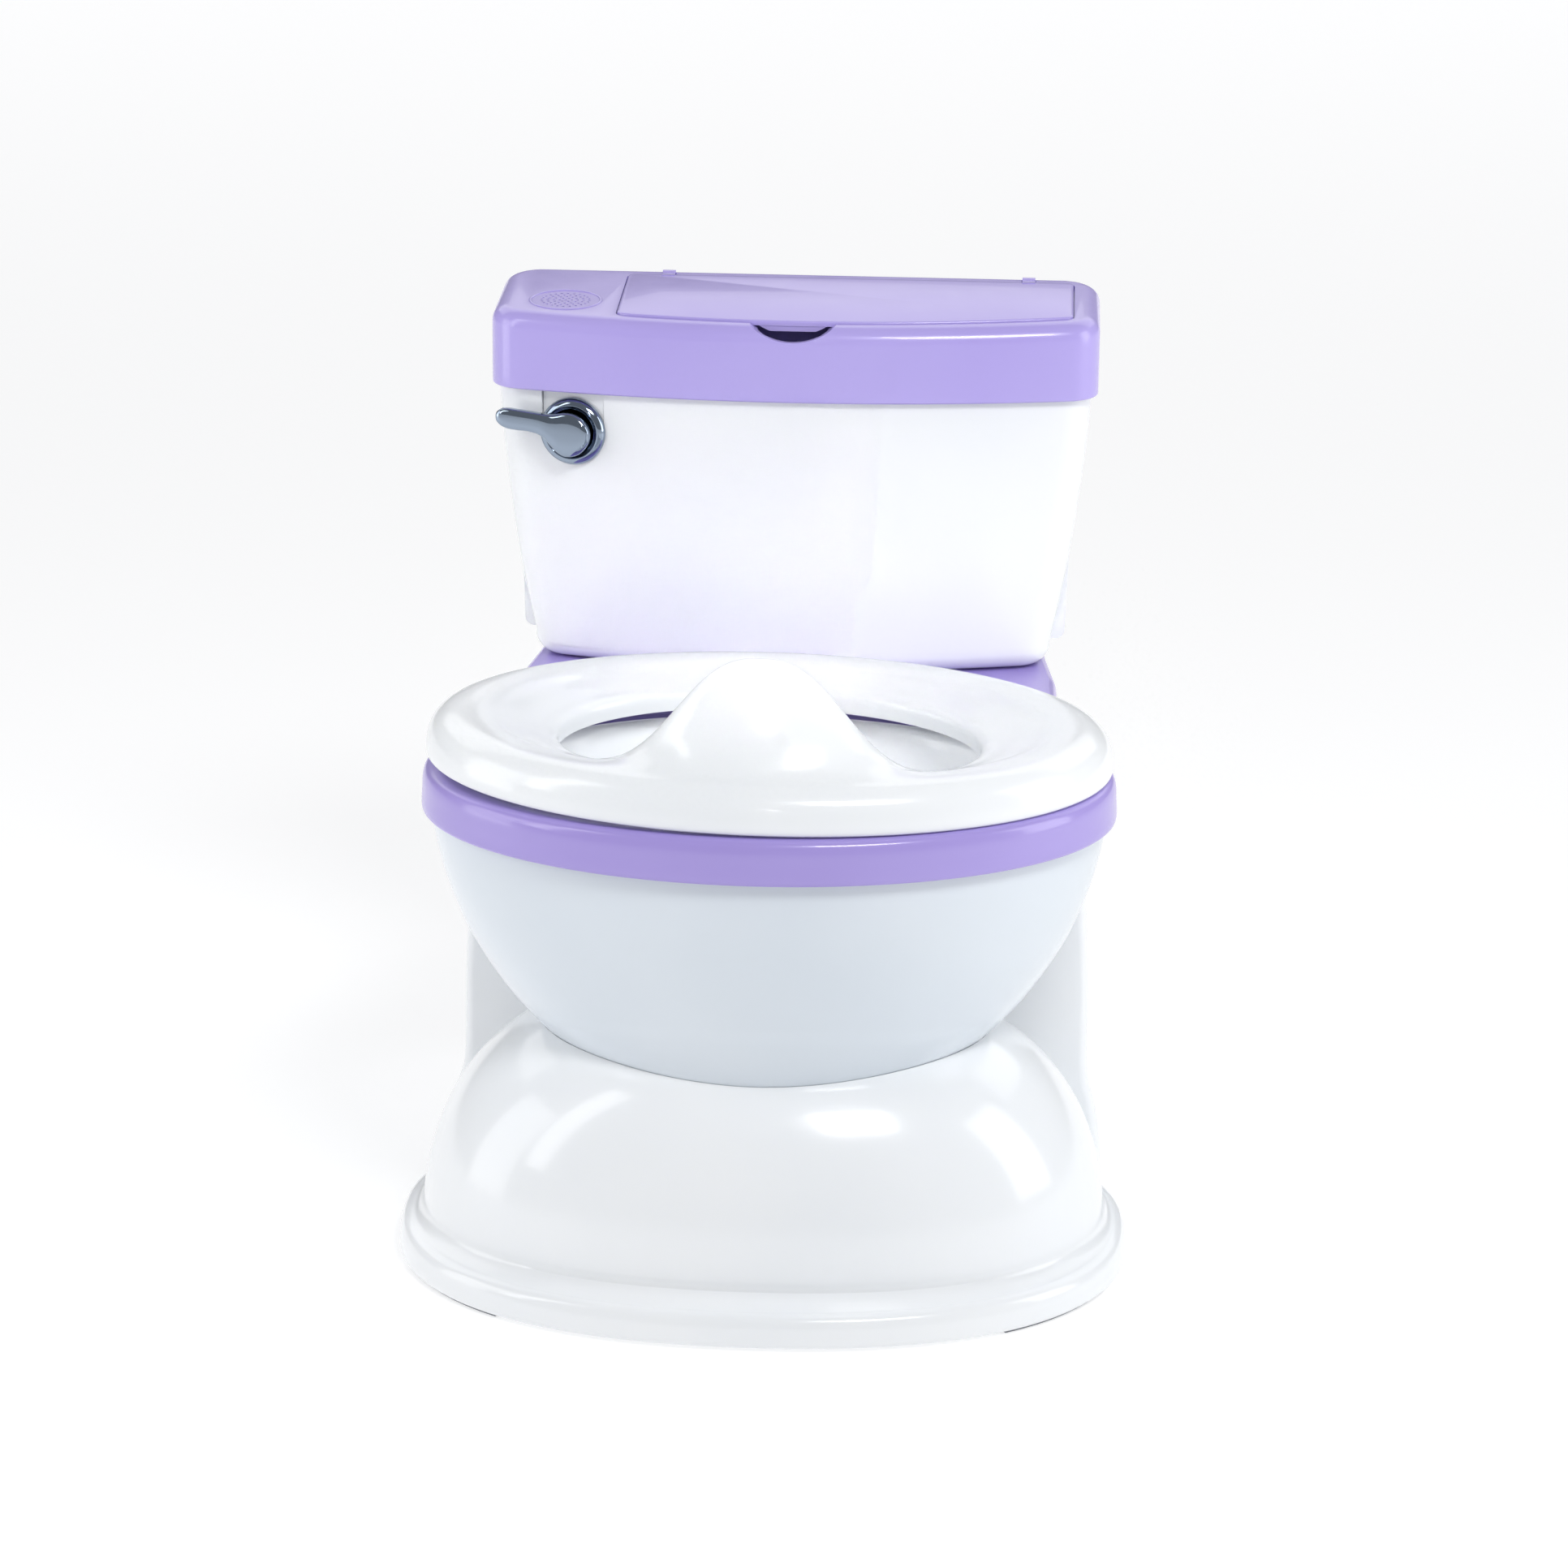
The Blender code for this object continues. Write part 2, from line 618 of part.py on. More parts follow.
# ------------------------------------------------------------------ tank
TANK_WIDTHS = [              # z, half-width
    (0.2015, 0.1110), (0.2125, 0.1137), (0.2290, 0.1171), (0.2510, 0.1210), (0.2730, 0.1240),
    (0.3000, 0.1271), (0.3240, 0.1287), (0.3450, 0.1287),
]
TANK_FRONTS = [(0.2015, 0.0935), (0.2400, 0.0915), (0.3240, 0.0893), (0.3450, 0.0893)]


def tank_section(z, inset=0.0):
    outline = bowed_outline(
        between(TANK_WIDTHS, z) - inset, between(TANK_FRONTS, z) + inset,
        TANK_BACK_Y - inset, TANK_CORNER - inset,
    )
    return at_height(outline, z)


def tank_surface_y(x, z):
    """y of the tank's front at a place on it, away from its corners."""
    width = between(TANK_WIDTHS, z) - TANK_CORNER
    return between(TANK_FRONTS, z) + FRONT_BOW * (x / width) ** 2


LEVER_SLOPE = atan(2 * FRONT_BOW * LEVER_X / (between(TANK_WIDTHS, LEVER_Z) - TANK_CORNER) ** 2)
LEVER_PIVOT = Vector((LEVER_X, tank_surface_y(LEVER_X, LEVER_Z), LEVER_Z))
# Lever frame: X along the tank's front to the right, Y into the tank, Z up
LEVER_FRAME = Matrix.Translation(LEVER_PIVOT) @ Matrix.Rotation(LEVER_SLOPE, 4, "Z")


def make_tank():
    radius = TANK_EDGE_RADIUS
    foot = [(radius * (1 - sin(a)), radius * (1 - cos(a))) for a in map(radians, (0, 22, 45, 67))]
    levels = [z for z, _ in TANK_WIDTHS[1:]]
    foot_z = levels[0]
    rings = [at_height(tank_section(foot_z, inset), TANK_BOTTOM + rise) for inset, rise in foot]
    rings += [tank_section(z) for z in levels]
    rings += [tank_section(z, WALL) for z in reversed(levels)]
    rings += [at_height(tank_section(foot_z, WALL + radius / 2), TANK_BOTTOM + WALL)]
    tank = add_object("tank_shell", loft_mesh(rings), "white_plastic")

    for name, side in (("grip_left", -1), ("grip_right", 1)):
        corners = [(0.1125, 0.2085), (0.1200, 0.2085), (0.1212, 0.2500), (0.1170, 0.2500)]
        outline = rounded_outline([(side * x, z) for x, z in corners], [0, 0.004, 0, 0], steps=4)
        join(tank, add_object(name, loft_mesh([[Vector((p.x, y, p.y)) for p in outline] for y in GRIP_Y])))

    slot = plate_mesh(PLATE_HALF_WIDTH + GAP, -0.02, 0.0085, 0.04)
    cut(tank, add_object("plate_slot", slot, None, LEVER_FRAME))
    half = BATTERY_HALF + GAP
    low, high = BATTERY_Z
    opening = box_mesh(
        (BATTERY_X - half, TANK_BACK_Y - 0.006, low - 0.001),
        (BATTERY_X + half, TANK_BACK_Y + 0.010, high + 0.001),
    )
    cut(tank, add_object("battery_opening", opening))
    for x, y in TANK_SCREWS:
        hole = cylinder_mesh((x, y, TANK_BOTTOM - 0.004), 0.012, SCREW_HOLE, sides=12)
        cut(tank, add_object("tank_hole", hole))
    for side in (-1, 1):
        start = (side * LID_SCREW_X, TANK_BACK_Y - 0.008, LID_SCREW_Z)
        cut(tank, add_object("lid_hole", cylinder_mesh(start, 0.012, SCREW_HOLE, "Y", sides=12)))
    return tank


def plate_mesh(half_width, front, back, rise):
    """A U-shaped plate in the lever frame: a half-round bottom about the pivot, straight sides to the top."""
    steps = 14
    angles = [pi + pi * k / steps for k in range(steps + 1)]
    outline = [Vector((half_width * cos(angle), half_width * sin(angle))) for angle in angles]
    outline += [Vector((half_width, rise)), Vector((-half_width, rise))]
    return loft_mesh([[Vector((p.x, y, p.y)) for p in outline] for y in (front, back)])


def lid_outline(inset):
    """The lid's plan, inset from its edge."""
    return bowed_outline(
        LID_HALF_WIDTH - inset, LID_FRONT_Y + inset, LID_BACK_Y - inset, LID_CORNER - inset
    )


def lid_ring(inset, drop):
    """A lid section inset from its outline, drop below the slanted top."""
    return [Vector((p.x, p.y, lid_top(p.y) - drop)) for p in lid_outline(inset)]


def make_lid_shell():
    radius = LID_EDGE_RADIUS
    edge = [(radius * (1 - cos(a)), radius * (1 - sin(a))) for a in map(radians, (0, 25, 50, 75, 90))]
    rings = [at_height(lid_outline(0.0004), LID_BOTTOM), at_height(lid_outline(0.0), LID_BOTTOM + 0.001)]
    rings += [lid_ring(inset, drop) for inset, drop in edge]
    lid = add_object("tank_lid", loft_mesh(rings), "lilac_plastic")

    inner = radius - LID_WALL
    hollow = [at_height(lid_outline(LID_WALL), LID_BOTTOM - 0.01)]
    for angle in map(radians, (0, 45, 90)):
        hollow.append(lid_ring(LID_WALL + inner * (1 - cos(angle)), LID_WALL + inner * (1 - sin(angle))))
    cut(lid, add_object("lid_hollow", loft_mesh(hollow)))
    return lid


def cut_hinge(lid, index, knuckle):
    """Ears beside one of the door's knuckles, with the gap it turns in and the pin's bore."""
    half, reach = KNUCKLE_LENGTH / 2 + GAP, PIN_LENGTH / 2 + 0.0015
    ear = box_mesh(
        (knuckle - reach, DOOR_HINGE_Y - 0.0030, HINGE_Z - 0.0035),
        (knuckle + reach, DOOR_HINGE_Y + 0.0030, HINGE_Z + 0.0008),
    )
    gap = box_mesh(
        (knuckle - half, DOOR_BACK_Y - 0.0010, HINGE_Z - 0.0045),
        (knuckle + half, DOOR_HINGE_Y + KNUCKLE_RADIUS + 0.0008, HINGE_Z + 0.01),
    )
    bore_start = (knuckle - PIN_LENGTH / 2 - GAP, DOOR_HINGE_Y, HINGE_Z)
    bore = cylinder_mesh(bore_start, PIN_LENGTH + 2 * GAP, PIN_RADIUS + GAP, "X", 12)
    join(lid, add_object(f"hinge_ear_{index}", ear))
    cut(lid, add_object(f"knuckle_gap_{index}", gap))
    cut(lid, add_object(f"pin_bore_{index}", bore))


def cut_grille(lid):
    centre_x, centre_y = SPEAKER_CENTRE
    for radius, count in ((0.0, 1), (0.0048, 6), (0.0096, 12)):
        for k in range(count):
            angle = 2 * pi * k / count
            place = (centre_x + radius * cos(angle), centre_y + radius * sin(angle), 0.350)
            cut(lid, add_object("grille_hole", cylinder_mesh(place, 0.02, 0.0009, sides=6)))


def make_lid():
    lid = make_lid_shell()
    recess = door_mesh(GAP + 0.0002, DOOR_PROUD - DOOR_THICKNESS - GAP, 0.01)
    cut(lid, add_object("door_recess", recess))
    low_x, high_x = DOOR_X[0] + 0.0045, DOOR_X[1] - 0.0060
    corners = [(low_x, 0.1090), (high_x, 0.1090), (high_x, 0.1640), (low_x, 0.1640)]
    opening = rounded_outline(corners, [0.006] * 4, steps=3)
    cut(lid, add_object("lid_opening", loft_mesh([at_height(opening, z) for z in (0.34, 0.37)])))
    notch_start = (0.0, LID_FRONT_Y - 0.004, NOTCH_BOTTOM + NOTCH_RADIUS)
    cut(lid, add_object("finger_notch", cylinder_mesh(notch_start, 0.0220, NOTCH_RADIUS, "Y", 64)))
    for index, knuckle in enumerate(KNUCKLE_X):
        cut_hinge(lid, index, knuckle)
    cut_grille(lid)
    for side in (-1, 1):
        hole_start = (side * LID_SCREW_X, LID_BACK_Y - 0.006, LID_SCREW_Z)
        head_start = (side * LID_SCREW_X, LID_BACK_Y - LID_HEAD_DEPTH - GAP, LID_SCREW_Z)
        cut(lid, add_object("lid_screw_hole", cylinder_mesh(hole_start, 0.012, SCREW_HOLE, "Y", sides=12)))
        cut(lid, add_object("lid_counterbore", cylinder_mesh(head_start, 0.006, 0.0032, "Y", sides=12)))
    return lid


def lid_slope():
    return atan((LID_TOP_BACK - LID_TOP_FRONT) / (LID_BACK_Y - LID_FRONT_Y))


def lid_top(y):
    return LID_TOP_FRONT + (y - LID_FRONT_Y) * tan(lid_slope())


HINGE_Z = lid_top(DOOR_HINGE_Y) - 0.0014


def bow_y(x):
    """How far the door's front edge lies behind its middle, following the lid's bow."""
    return FRONT_BOW * (x / 0.115) ** 2


def door_outline(grow=0.0):
    """The door's plan: a front edge that follows the lid's bow, and rounded corners."""
    low_x, high_x = DOOR_X[0] - grow, DOOR_X[1] + grow
    front_y, back_y = DOOR_FRONT_Y - grow, DOOR_BACK_Y + grow
    steps, corner = 10, 0.007
    front = []
    for k in range(steps + 1):
        x = low_x + corner + (high_x - low_x - 2 * corner) * k / steps
        front.append((x, front_y + bow_y(x)))
    right_y, left_y = front[-1][1] + 0.002, front[0][1] + 0.002
    sides = [(high_x, right_y), (high_x, back_y), (low_x, back_y), (low_x, left_y)]
    return rounded_outline(front + sides, [0.0] * len(front) + [0.005, 0.003, 0.003, 0.005], steps=3)


def door_mesh(grow, bottom, top):
    """The door's plan between two levels measured from the slanted lid top."""
    outline = door_outline(grow)
    return loft_mesh([[Vector((p.x, p.y, lid_top(p.y) + level)) for p in outline] for level in (bottom, top)])


def lip_mesh():
    """The lip that hangs from the door's front edge over the finger notch, a little inside its arc."""
    arc, middle = NOTCH_RADIUS - LIP_CLEARANCE, NOTCH_BOTTOM + NOTCH_RADIUS
    top = lid_top(DOOR_FRONT_Y) + DOOR_PROUD - 0.0004
    steps = 6
    right = []
    for k in range(steps + 1):
        z = LIP_BOTTOM + (top - LIP_BOTTOM) * k / steps
        right.append((sqrt(arc ** 2 - (middle - z) ** 2), z))
    outline = right + [(-x, z) for x, z in reversed(right)]
    front = DOOR_FRONT_Y + 0.0002
    return loft_mesh([[Vector((x, y + bow_y(x), z)) for x, z in outline] for y in (front, front + 0.0018)])


def make_door():
    door = add_object("wipes_door", door_mesh(0.0, DOOR_PROUD - DOOR_THICKNESS, DOOR_PROUD), "lilac_plastic")
    join(door, add_object("door_lip", lip_mesh()))
    for index, knuckle in enumerate(KNUCKLE_X):
        low_x, high_x = knuckle - KNUCKLE_LENGTH / 2, knuckle + KNUCKLE_LENGTH / 2
        tab = box_mesh(
            (low_x, DOOR_BACK_Y - 0.0030, HINGE_Z + 0.0004), (high_x, DOOR_HINGE_Y, HINGE_Z + 0.0022)
        )
        barrel = cylinder_mesh((low_x, DOOR_HINGE_Y, HINGE_Z), KNUCKLE_LENGTH, KNUCKLE_RADIUS, "X", 16)
        bore = cylinder_mesh((knuckle - 0.005, DOOR_HINGE_Y, HINGE_Z), 0.010, PIN_RADIUS + GAP, "X", 12)
        join(door, add_object(f"knuckle_tab_{index}", tab))
        join(door, add_object(f"knuckle_{index}", barrel))
        cut(door, add_object(f"knuckle_bore_{index}", bore))
        pin_start = (knuckle - PIN_LENGTH / 2, DOOR_HINGE_Y, HINGE_Z)
        pin = cylinder_mesh(pin_start, PIN_LENGTH, PIN_RADIUS, "X", 10)
        add_object(("door_pin_left", "door_pin_right")[index], pin, "steel")
    return set_origin(door, (sum(KNUCKLE_X) / 2, DOOR_HINGE_Y, HINGE_Z))


def make_tray():
    """An open-topped tray: inset and height of its outside, then of its inside."""
    top = lid_top(DOOR_FRONT_Y) - LID_WALL - 3 * GAP
    wall, floor = TRAY_WALL, TRAY_FLOOR_Z
    levels = [(0.0040, floor), (0.0010, floor + 0.0025), (0.0, top)]
    levels += [(wall, top), (wall + 0.0010, floor + wall + 0.0030), (wall + 0.0040, floor + wall)]
    rings = []
    for inset, z in levels:
        low_x, high_x = TRAY_X[0] + inset, TRAY_X[1] - inset
        low_y, high_y = TRAY_Y[0] + inset, TRAY_Y[1] - inset
        corners = [(low_x, low_y), (high_x, low_y), (high_x, high_y), (low_x, high_y)]
        rings.append(at_height(rounded_outline(corners, [0.006] * 4, steps=3), z))
    return add_object("wipes_tray", loft_mesh(rings), "lilac_plastic")


# ------------------------------------------------------------------ flush lever and its mechanism
def lever_turned(name, profile, material, steps=24):
    """A piece turned on the lever's axis. Its profile is (radius, depth into the tank), front to back."""
    turn = LEVER_FRAME @ Matrix.Rotation(pi / 2, 4, "X")
    return turned_part(name, [(radius, -depth) for radius, depth in profile], material, turn, steps)


def lever_object(name, bm, material=None):
    return add_object(name, bm, material, LEVER_FRAME)


def make_lever_plate():
    rise = LID_BOTTOM + 0.018 - LEVER_Z
    plate = lever_object("lever_plate", plate_mesh(PLATE_HALF_WIDTH, 0.0, WALL, rise), "white_plastic")
    brackets = {
        "plate_arm": ((-0.0120, 0.0015, -0.0045), (-0.0065, 0.0065, -0.0020)),
        "plate_web": ((-0.0120, 0.0045, -0.0205), (-0.0065, 0.0065, -0.0025)),
        "plate_shelf": ((-0.0135, 0.0050, -0.0205), (-0.0060, 0.0175, -0.0183)),
    }
    for name, (low, high) in brackets.items():
        join(plate, lever_object(name, box_mesh(low, high)))
    bore = cylinder_mesh((0, -0.01, 0), 0.03, SHAFT_RADIUS + GAP, "Y", 20)
    cut(plate, lever_object("plate_bore", bore))
    return plate


def make_escutcheon():
    """A chrome washer: a raised outer rim round a shallow dish for the lever's boss."""
    bore, back = 0.0044, -0.0009
    return lever_turned("escutcheon", [
        (bore, -0.0026), (0.0102, -0.0026), (0.0112, -0.0040), (0.0124, -0.0042), (0.0140, -0.0030),
        (ESCUTCHEON_RADIUS, -0.0012), (ESCUTCHEON_RADIUS, back), (bore, back), (bore, -0.0026),
    ], "chrome", 28)


LEVER_SECTIONS = [           # reach to the left of the pivot, bottom, top, half-thickness
    (-0.0104, -0.0010, 0.0010, 0.0008), (-0.0097, -0.0034, 0.0034, 0.0022),
    (-0.0082, -0.0058, 0.0058, 0.0029), (-0.0055, -0.0082, 0.0082, 0.0031),
    (-0.0020, -0.0095, 0.0095, 0.0032), (0.0015, -0.0094, 0.0096, 0.0032),
    (0.0045, -0.0078, 0.0090, 0.0032), (0.0072, -0.0052, 0.0085, 0.0031),
    (0.0098, -0.0024, 0.0085, 0.0031), (0.0130, -0.0005, 0.0088, 0.0030),
    (0.0175, 0.0004, 0.0092, 0.0030), (0.0225, 0.0006, 0.0096, 0.0030),
    (0.0270, 0.0010, 0.0099, 0.0029), (0.0300, 0.0022, 0.0095, 0.0026),
    (0.0318, 0.0038, 0.0082, 0.0019), (0.0325, 0.0052, 0.0068, 0.0008),
]
LEVER_POWER = 3.4            # the lever's face is flat, with rounded edges


def lever_ring(reach, bottom, top, thick, count=16):
    middle, half = (bottom + top) / 2, (top - bottom) / 2
    ring = []
    for k in range(count):
        angle = 2 * pi * (k + 0.5) / count
        y = LEVER_DEPTH + thick * signed_power(cos(angle), 2 / LEVER_POWER)
        ring.append(Vector((-reach, y, middle + half * signed_power(sin(angle), 2 / LEVER_POWER))))
    return ring


def make_lever():
    arm = lever_object("flush_lever", loft_mesh([lever_ring(*row) for row in LEVER_SECTIONS]), "chrome")
    neck = cylinder_mesh((0, LEVER_DEPTH, 0), 0.0077, 0.0041, "Y", 20)
    shaft = cylinder_mesh((0, -0.0050, 0), 0.0210, SHAFT_RADIUS, "Y", 20)
    screw_hole = cylinder_mesh((0, 0.0090, 0), 0.02, 0.0011 + GAP, "Y", 12)
    join(arm, lever_object("lever_neck", neck))
    join(arm, lever_object("lever_shaft", shaft))
    cut(arm, lever_object("lever_screw_hole", screw_hole))
    return arm


def make_crank():
    front, back = CRANK_DEPTH - 0.0020, CRANK_DEPTH + 0.0020
    hub = cylinder_mesh((0, CRANK_DEPTH - 0.0028, 0), 0.0058, 0.0052, "Y", 20)
    crank = lever_object("lever_crank", hub, "white_plastic")
    nose = cylinder_mesh((-CRANK_REACH, front, 0), back - front, CRANK_NOSE, "Y", 20)
    bore = cylinder_mesh((0, 0.005, 0), 0.02, SHAFT_RADIUS + GAP, "Y", 20)
    arm = box_mesh((-CRANK_REACH, front, -CRANK_NOSE), (0, back, CRANK_NOSE))
    join(crank, lever_object("crank_arm", arm))
    join(crank, lever_object("crank_nose", nose))
    cut(crank, lever_object("crank_bore", bore))
    lever_turned("crank_screw", [
        (0.0, 0.0095), (0.0011, 0.0098), (0.0011, 0.0165), (0.0042, 0.0165), (0.0042, 0.0175),
        (0.0030, 0.0186), (0.0, 0.0188),
    ], "steel", 16)
    return crank


def make_spring():
    turns, points_per_turn = 4, 8
    curve = bpy.data.curves.new("lever_spring", "CURVE")
    curve.dimensions = "3D"
    curve.bevel_depth = 0.00035
    curve.bevel_resolution = 1
    curve.use_fill_caps = True
    total = turns * points_per_turn
    spline = curve.splines.new("POLY")
    spline.points.add(total)
    for k in range(total + 1):
        angle = 2 * pi * k / points_per_turn
        spline.points[k].co = (0.0044 * cos(angle), 0.0040 + 0.0055 * k / total, 0.0044 * sin(angle), 1)
    spring = bpy.data.objects.new("lever_spring", curve)
    curve.materials.append(MATERIALS["steel"])
    parts.objects.link(spring)
    spring.matrix_world = LEVER_FRAME
    return spring


def make_switch():
    x, y = -CRANK_REACH, CRANK_DEPTH
    body = lever_object(
        "switch_body", box_mesh((x - 0.0030, y - 0.0035, -0.0180), (x + 0.0030, y + 0.0035, -0.0062)),
        "black_plastic",
    )
    bore = cylinder_mesh((x, y, -0.0166), 0.02, PLUNGER_RADIUS + GAP, "Z", 16)
    cut(body, lever_object("switch_bore", bore))
    plunger = cylinder_mesh((0, 0, 0), 0.0100, PLUNGER_RADIUS, "Z", 16)
    place = LEVER_FRAME @ Matrix.Translation((x, y, -0.0123))
    add_object("switch_plunger", plunger, "white_plastic", place)


# ------------------------------------------------------------------ sound module and batteries
def make_speaker():
    x, y = SPEAKER_CENTRE
    top = lid_top(y - SPEAKER_RADIUS) - LID_WALL - GAP
    turned_part("speaker", [
        (0.0, -0.0020), (0.0060, -0.0022), (0.0138, -0.0004), (0.0152, -0.0004), (0.0155, 0.0),
        (SPEAKER_RADIUS, 0.0), (SPEAKER_RADIUS, -0.0025), (0.0120, -0.0055), (0.0080, -0.0055),
        (0.0080, -0.0100), (0.0, -0.0100),
    ], "black_plastic", Matrix.Translation((x, y, top)), 16)


def battery_span(front, back, margin=0.0):
    """A box across the battery bay between two depths, inset by margin on its sides."""
    low, high = BATTERY_Z
    half, over = BATTERY_HALF - margin, 0.0007 - margin
    return box_mesh((BATTERY_X - half, front, low - over), (BATTERY_X + half, back, high + over))


def make_battery_box():
    wall, front = 0.0016, BATTERY_BOX_FRONT
    post_radius, hole_radius = BOARD_POST
    case = add_object("battery_box", battery_span(front, TANK_BACK_Y - 0.0033), "black_plastic")
    cut(case, add_object("battery_bay", battery_span(front + wall, TANK_BACK_Y + 0.01, wall)))
    for index, z in enumerate(BOARD_SCREW_Z):
        post = cylinder_mesh((BATTERY_X, front - 0.0050, z), 0.0055, post_radius, "Y", 12)
        hole = cylinder_mesh((BATTERY_X, front - 0.0060, z), 0.0055, hole_radius, "Y", 10)
        join(case, add_object(f"board_post_{index}", post))
        cut(case, add_object(f"board_post_hole_{index}", hole))
    return case


def make_board():
    low, high = BATTERY_Z
    back = BATTERY_BOX_FRONT - 0.0053
    front = back - 0.0016
    board = add_object("circuit_board", box_mesh(
        (BATTERY_X - BATTERY_HALF, front, low + 0.002), (BATTERY_X + BATTERY_HALF, back, high - 0.002)
    ), "circuit_green")
    chip = box_mesh(
        (BATTERY_X - 0.0035, front - 0.0018, low + 0.020), (BATTERY_X + 0.0035, front + 0.0004, high - 0.020)
    )
    join(board, add_object("sound_chip", chip))
    for index, z in enumerate(BOARD_SCREW_Z):
        hole = cylinder_mesh((BATTERY_X, front - 0.0031, z), 0.01, 0.0013, "Y", 12)
        cut(board, add_object(f"board_hole_{index}", hole))
        name = ("board_screw_lower", "board_screw_upper")[index]
        screw_part(name, (BATTERY_X, front - GAP, z), (0, 1, 0), 0.0062, 0.0022, 0.0013, 0.0009)
    return board


def make_batteries():
    half, end = BATTERY_LENGTH / 2, BATTERY_LENGTH / 2 - 0.0010
    middle_z = sum(BATTERY_Z) / 2 - 0.0002
    for name, side in (("battery_left", -1), ("battery_right", 1)):
        place = Matrix.Translation((BATTERY_X + side * 0.0057, BATTERY_BOX_FRONT + 0.0078, middle_z))
        turned_part(name, [
            (0.0, half), (0.0018, half), (0.0018, end), (BATTERY_RADIUS, end),
            (BATTERY_RADIUS, 0.0002 - half), (0.0, 0.0002 - half),
        ], "battery_wrap", place, 20)


def make_battery_cover():
    screw_z = BATTERY_Z[1] - 0.0045
    plate = battery_span(TANK_BACK_Y - 0.0028, TANK_BACK_Y - 0.0004)
    cover = add_object("battery_cover", plate, "white_plastic")
    hole = cylinder_mesh((BATTERY_X, TANK_BACK_Y - 0.006, screw_z), 0.01, SCREW_HOLE, "Y", 12)
    cut(cover, add_object("cover_screw_hole", hole))
    head = (BATTERY_X, TANK_BACK_Y - 0.0001, screw_z)
    screw_part("battery_cover_screw", head, (0, -1, 0), 0.0040, 0.0023, 0.0012, 0.0012)
    return set_origin(cover, (BATTERY_X, TANK_BACK_Y, sum(BATTERY_Z) / 2))


# ------------------------------------------------------------------ fasteners
def make_fasteners():
    deck, base = bpy.data.objects["deck"], bpy.data.objects["base_shell"]
    under = DECK_FLAT - WALL - GAP
    for name, (x, y) in zip(("front_left", "rear_left", "front_right", "rear_right"), TANK_SCREWS):
        screw_part(f"tank_screw_{name}", (x, y, under), (0, 0, 1), 0.0085)
        hole = cylinder_mesh((x, y, under - 0.002), 0.012, SCREW_HOLE, sides=12)
        cut(deck, add_object(f"deck_hole_{name}", hole))
    for name, side in (("left", -1), ("right", 1)):
        lid_seat = (side * LID_SCREW_X, LID_BACK_Y - LID_HEAD_DEPTH, LID_SCREW_Z)
        screw_part(f"lid_screw_{name}", lid_seat, (0, -1, 0), 0.0060, head_height=LID_HEAD_DEPTH)
        x = side * DECK_SCREW_X
        screw_part(f"deck_screw_{name}", (x, DECK_BACK_Y + GAP, DECK_SCREW_Z), (0, -1, 0), 0.0080)
        hole = cylinder_mesh((x, DECK_BACK_Y - 0.012, DECK_SCREW_Z), 0.02, SCREW_HOLE, "Y", sides=12)
        hole_object = add_object(f"deck_screw_hole_{name}", hole)
        cut(deck, hole_object)
        cut(base, hole_object)


make_bowl()
make_base()
make_pads()
make_deck()
make_pot()
make_seat()
make_tank()
make_lid()
make_door()
make_tray()
make_lever_plate()
make_escutcheon()
make_lever()
make_crank()
make_spring()
make_switch()
make_speaker()
make_battery_box()
make_board()
make_batteries()
make_battery_cover()
make_fasteners()
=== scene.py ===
"""Looks of the potty training chair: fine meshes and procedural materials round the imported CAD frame."""
from math import atan, atan2, cos, pi, radians, sin, sqrt, tan

import bmesh
import bpy
from mathutils import Matrix, Vector


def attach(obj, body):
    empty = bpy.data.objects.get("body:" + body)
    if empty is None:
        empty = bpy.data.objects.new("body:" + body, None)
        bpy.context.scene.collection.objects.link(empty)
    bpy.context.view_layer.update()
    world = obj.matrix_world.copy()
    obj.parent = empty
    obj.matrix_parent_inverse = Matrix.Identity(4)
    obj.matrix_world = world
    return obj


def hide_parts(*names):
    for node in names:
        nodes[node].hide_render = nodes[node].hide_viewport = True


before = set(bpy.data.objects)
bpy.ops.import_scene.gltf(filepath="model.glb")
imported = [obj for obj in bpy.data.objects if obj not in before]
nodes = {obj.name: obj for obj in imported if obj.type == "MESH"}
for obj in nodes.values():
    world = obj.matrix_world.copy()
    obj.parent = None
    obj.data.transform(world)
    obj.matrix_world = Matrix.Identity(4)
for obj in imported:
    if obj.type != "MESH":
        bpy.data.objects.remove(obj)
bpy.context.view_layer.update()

scene = bpy.context.scene

# ------------------------------------------------------------------ dimensions shared with the CAD, in metres
GAP = 0.0003                 # clearance between pieces
WALL = 0.0025
FOOT_Z = 0.0015              # underside of the base, which stands on its pads
SCREW_HOLE = 0.0016          # radius
BOWL_Y = -0.0531
FLANGE_Y, FLANGE_TOP = -0.0632, 0.0150
OVAL_POWER = 2.27
DOME_HEIGHT, DOME_POWER = 0.114, 2.6
FLANGE_HALF, FLANGE_FRONT, FLANGE_BACK = 0.1517, 0.1168, 0.105
DOME_HALF, DOME_FRONT, DOME_BACK, DOME_TOP = 0.1425, 0.100, 0.1008, 0.1125
BODY_FRONT_Y, BODY_BACK_Y, BASE_TOP = 0.0168, 0.1690, 0.1968
REAR_RADIUS = 0.020
DECK_BOTTOM, DECK_FLAT, DECK_LIP, DECK_PLATFORM, DECK_BACK_Y = 0.1868, 0.2002, 0.2050, 0.2012, 0.1725
RING_HALF, RING_DEPTH = 0.1425, 0.1021
SEAT_BOTTOM, SEAT_RIM_TOP = 0.2053, 0.2238
GUARD_HEIGHT, GUARD_SPREAD, GUARD_POWER = 0.0486, 0.0360, 2.6
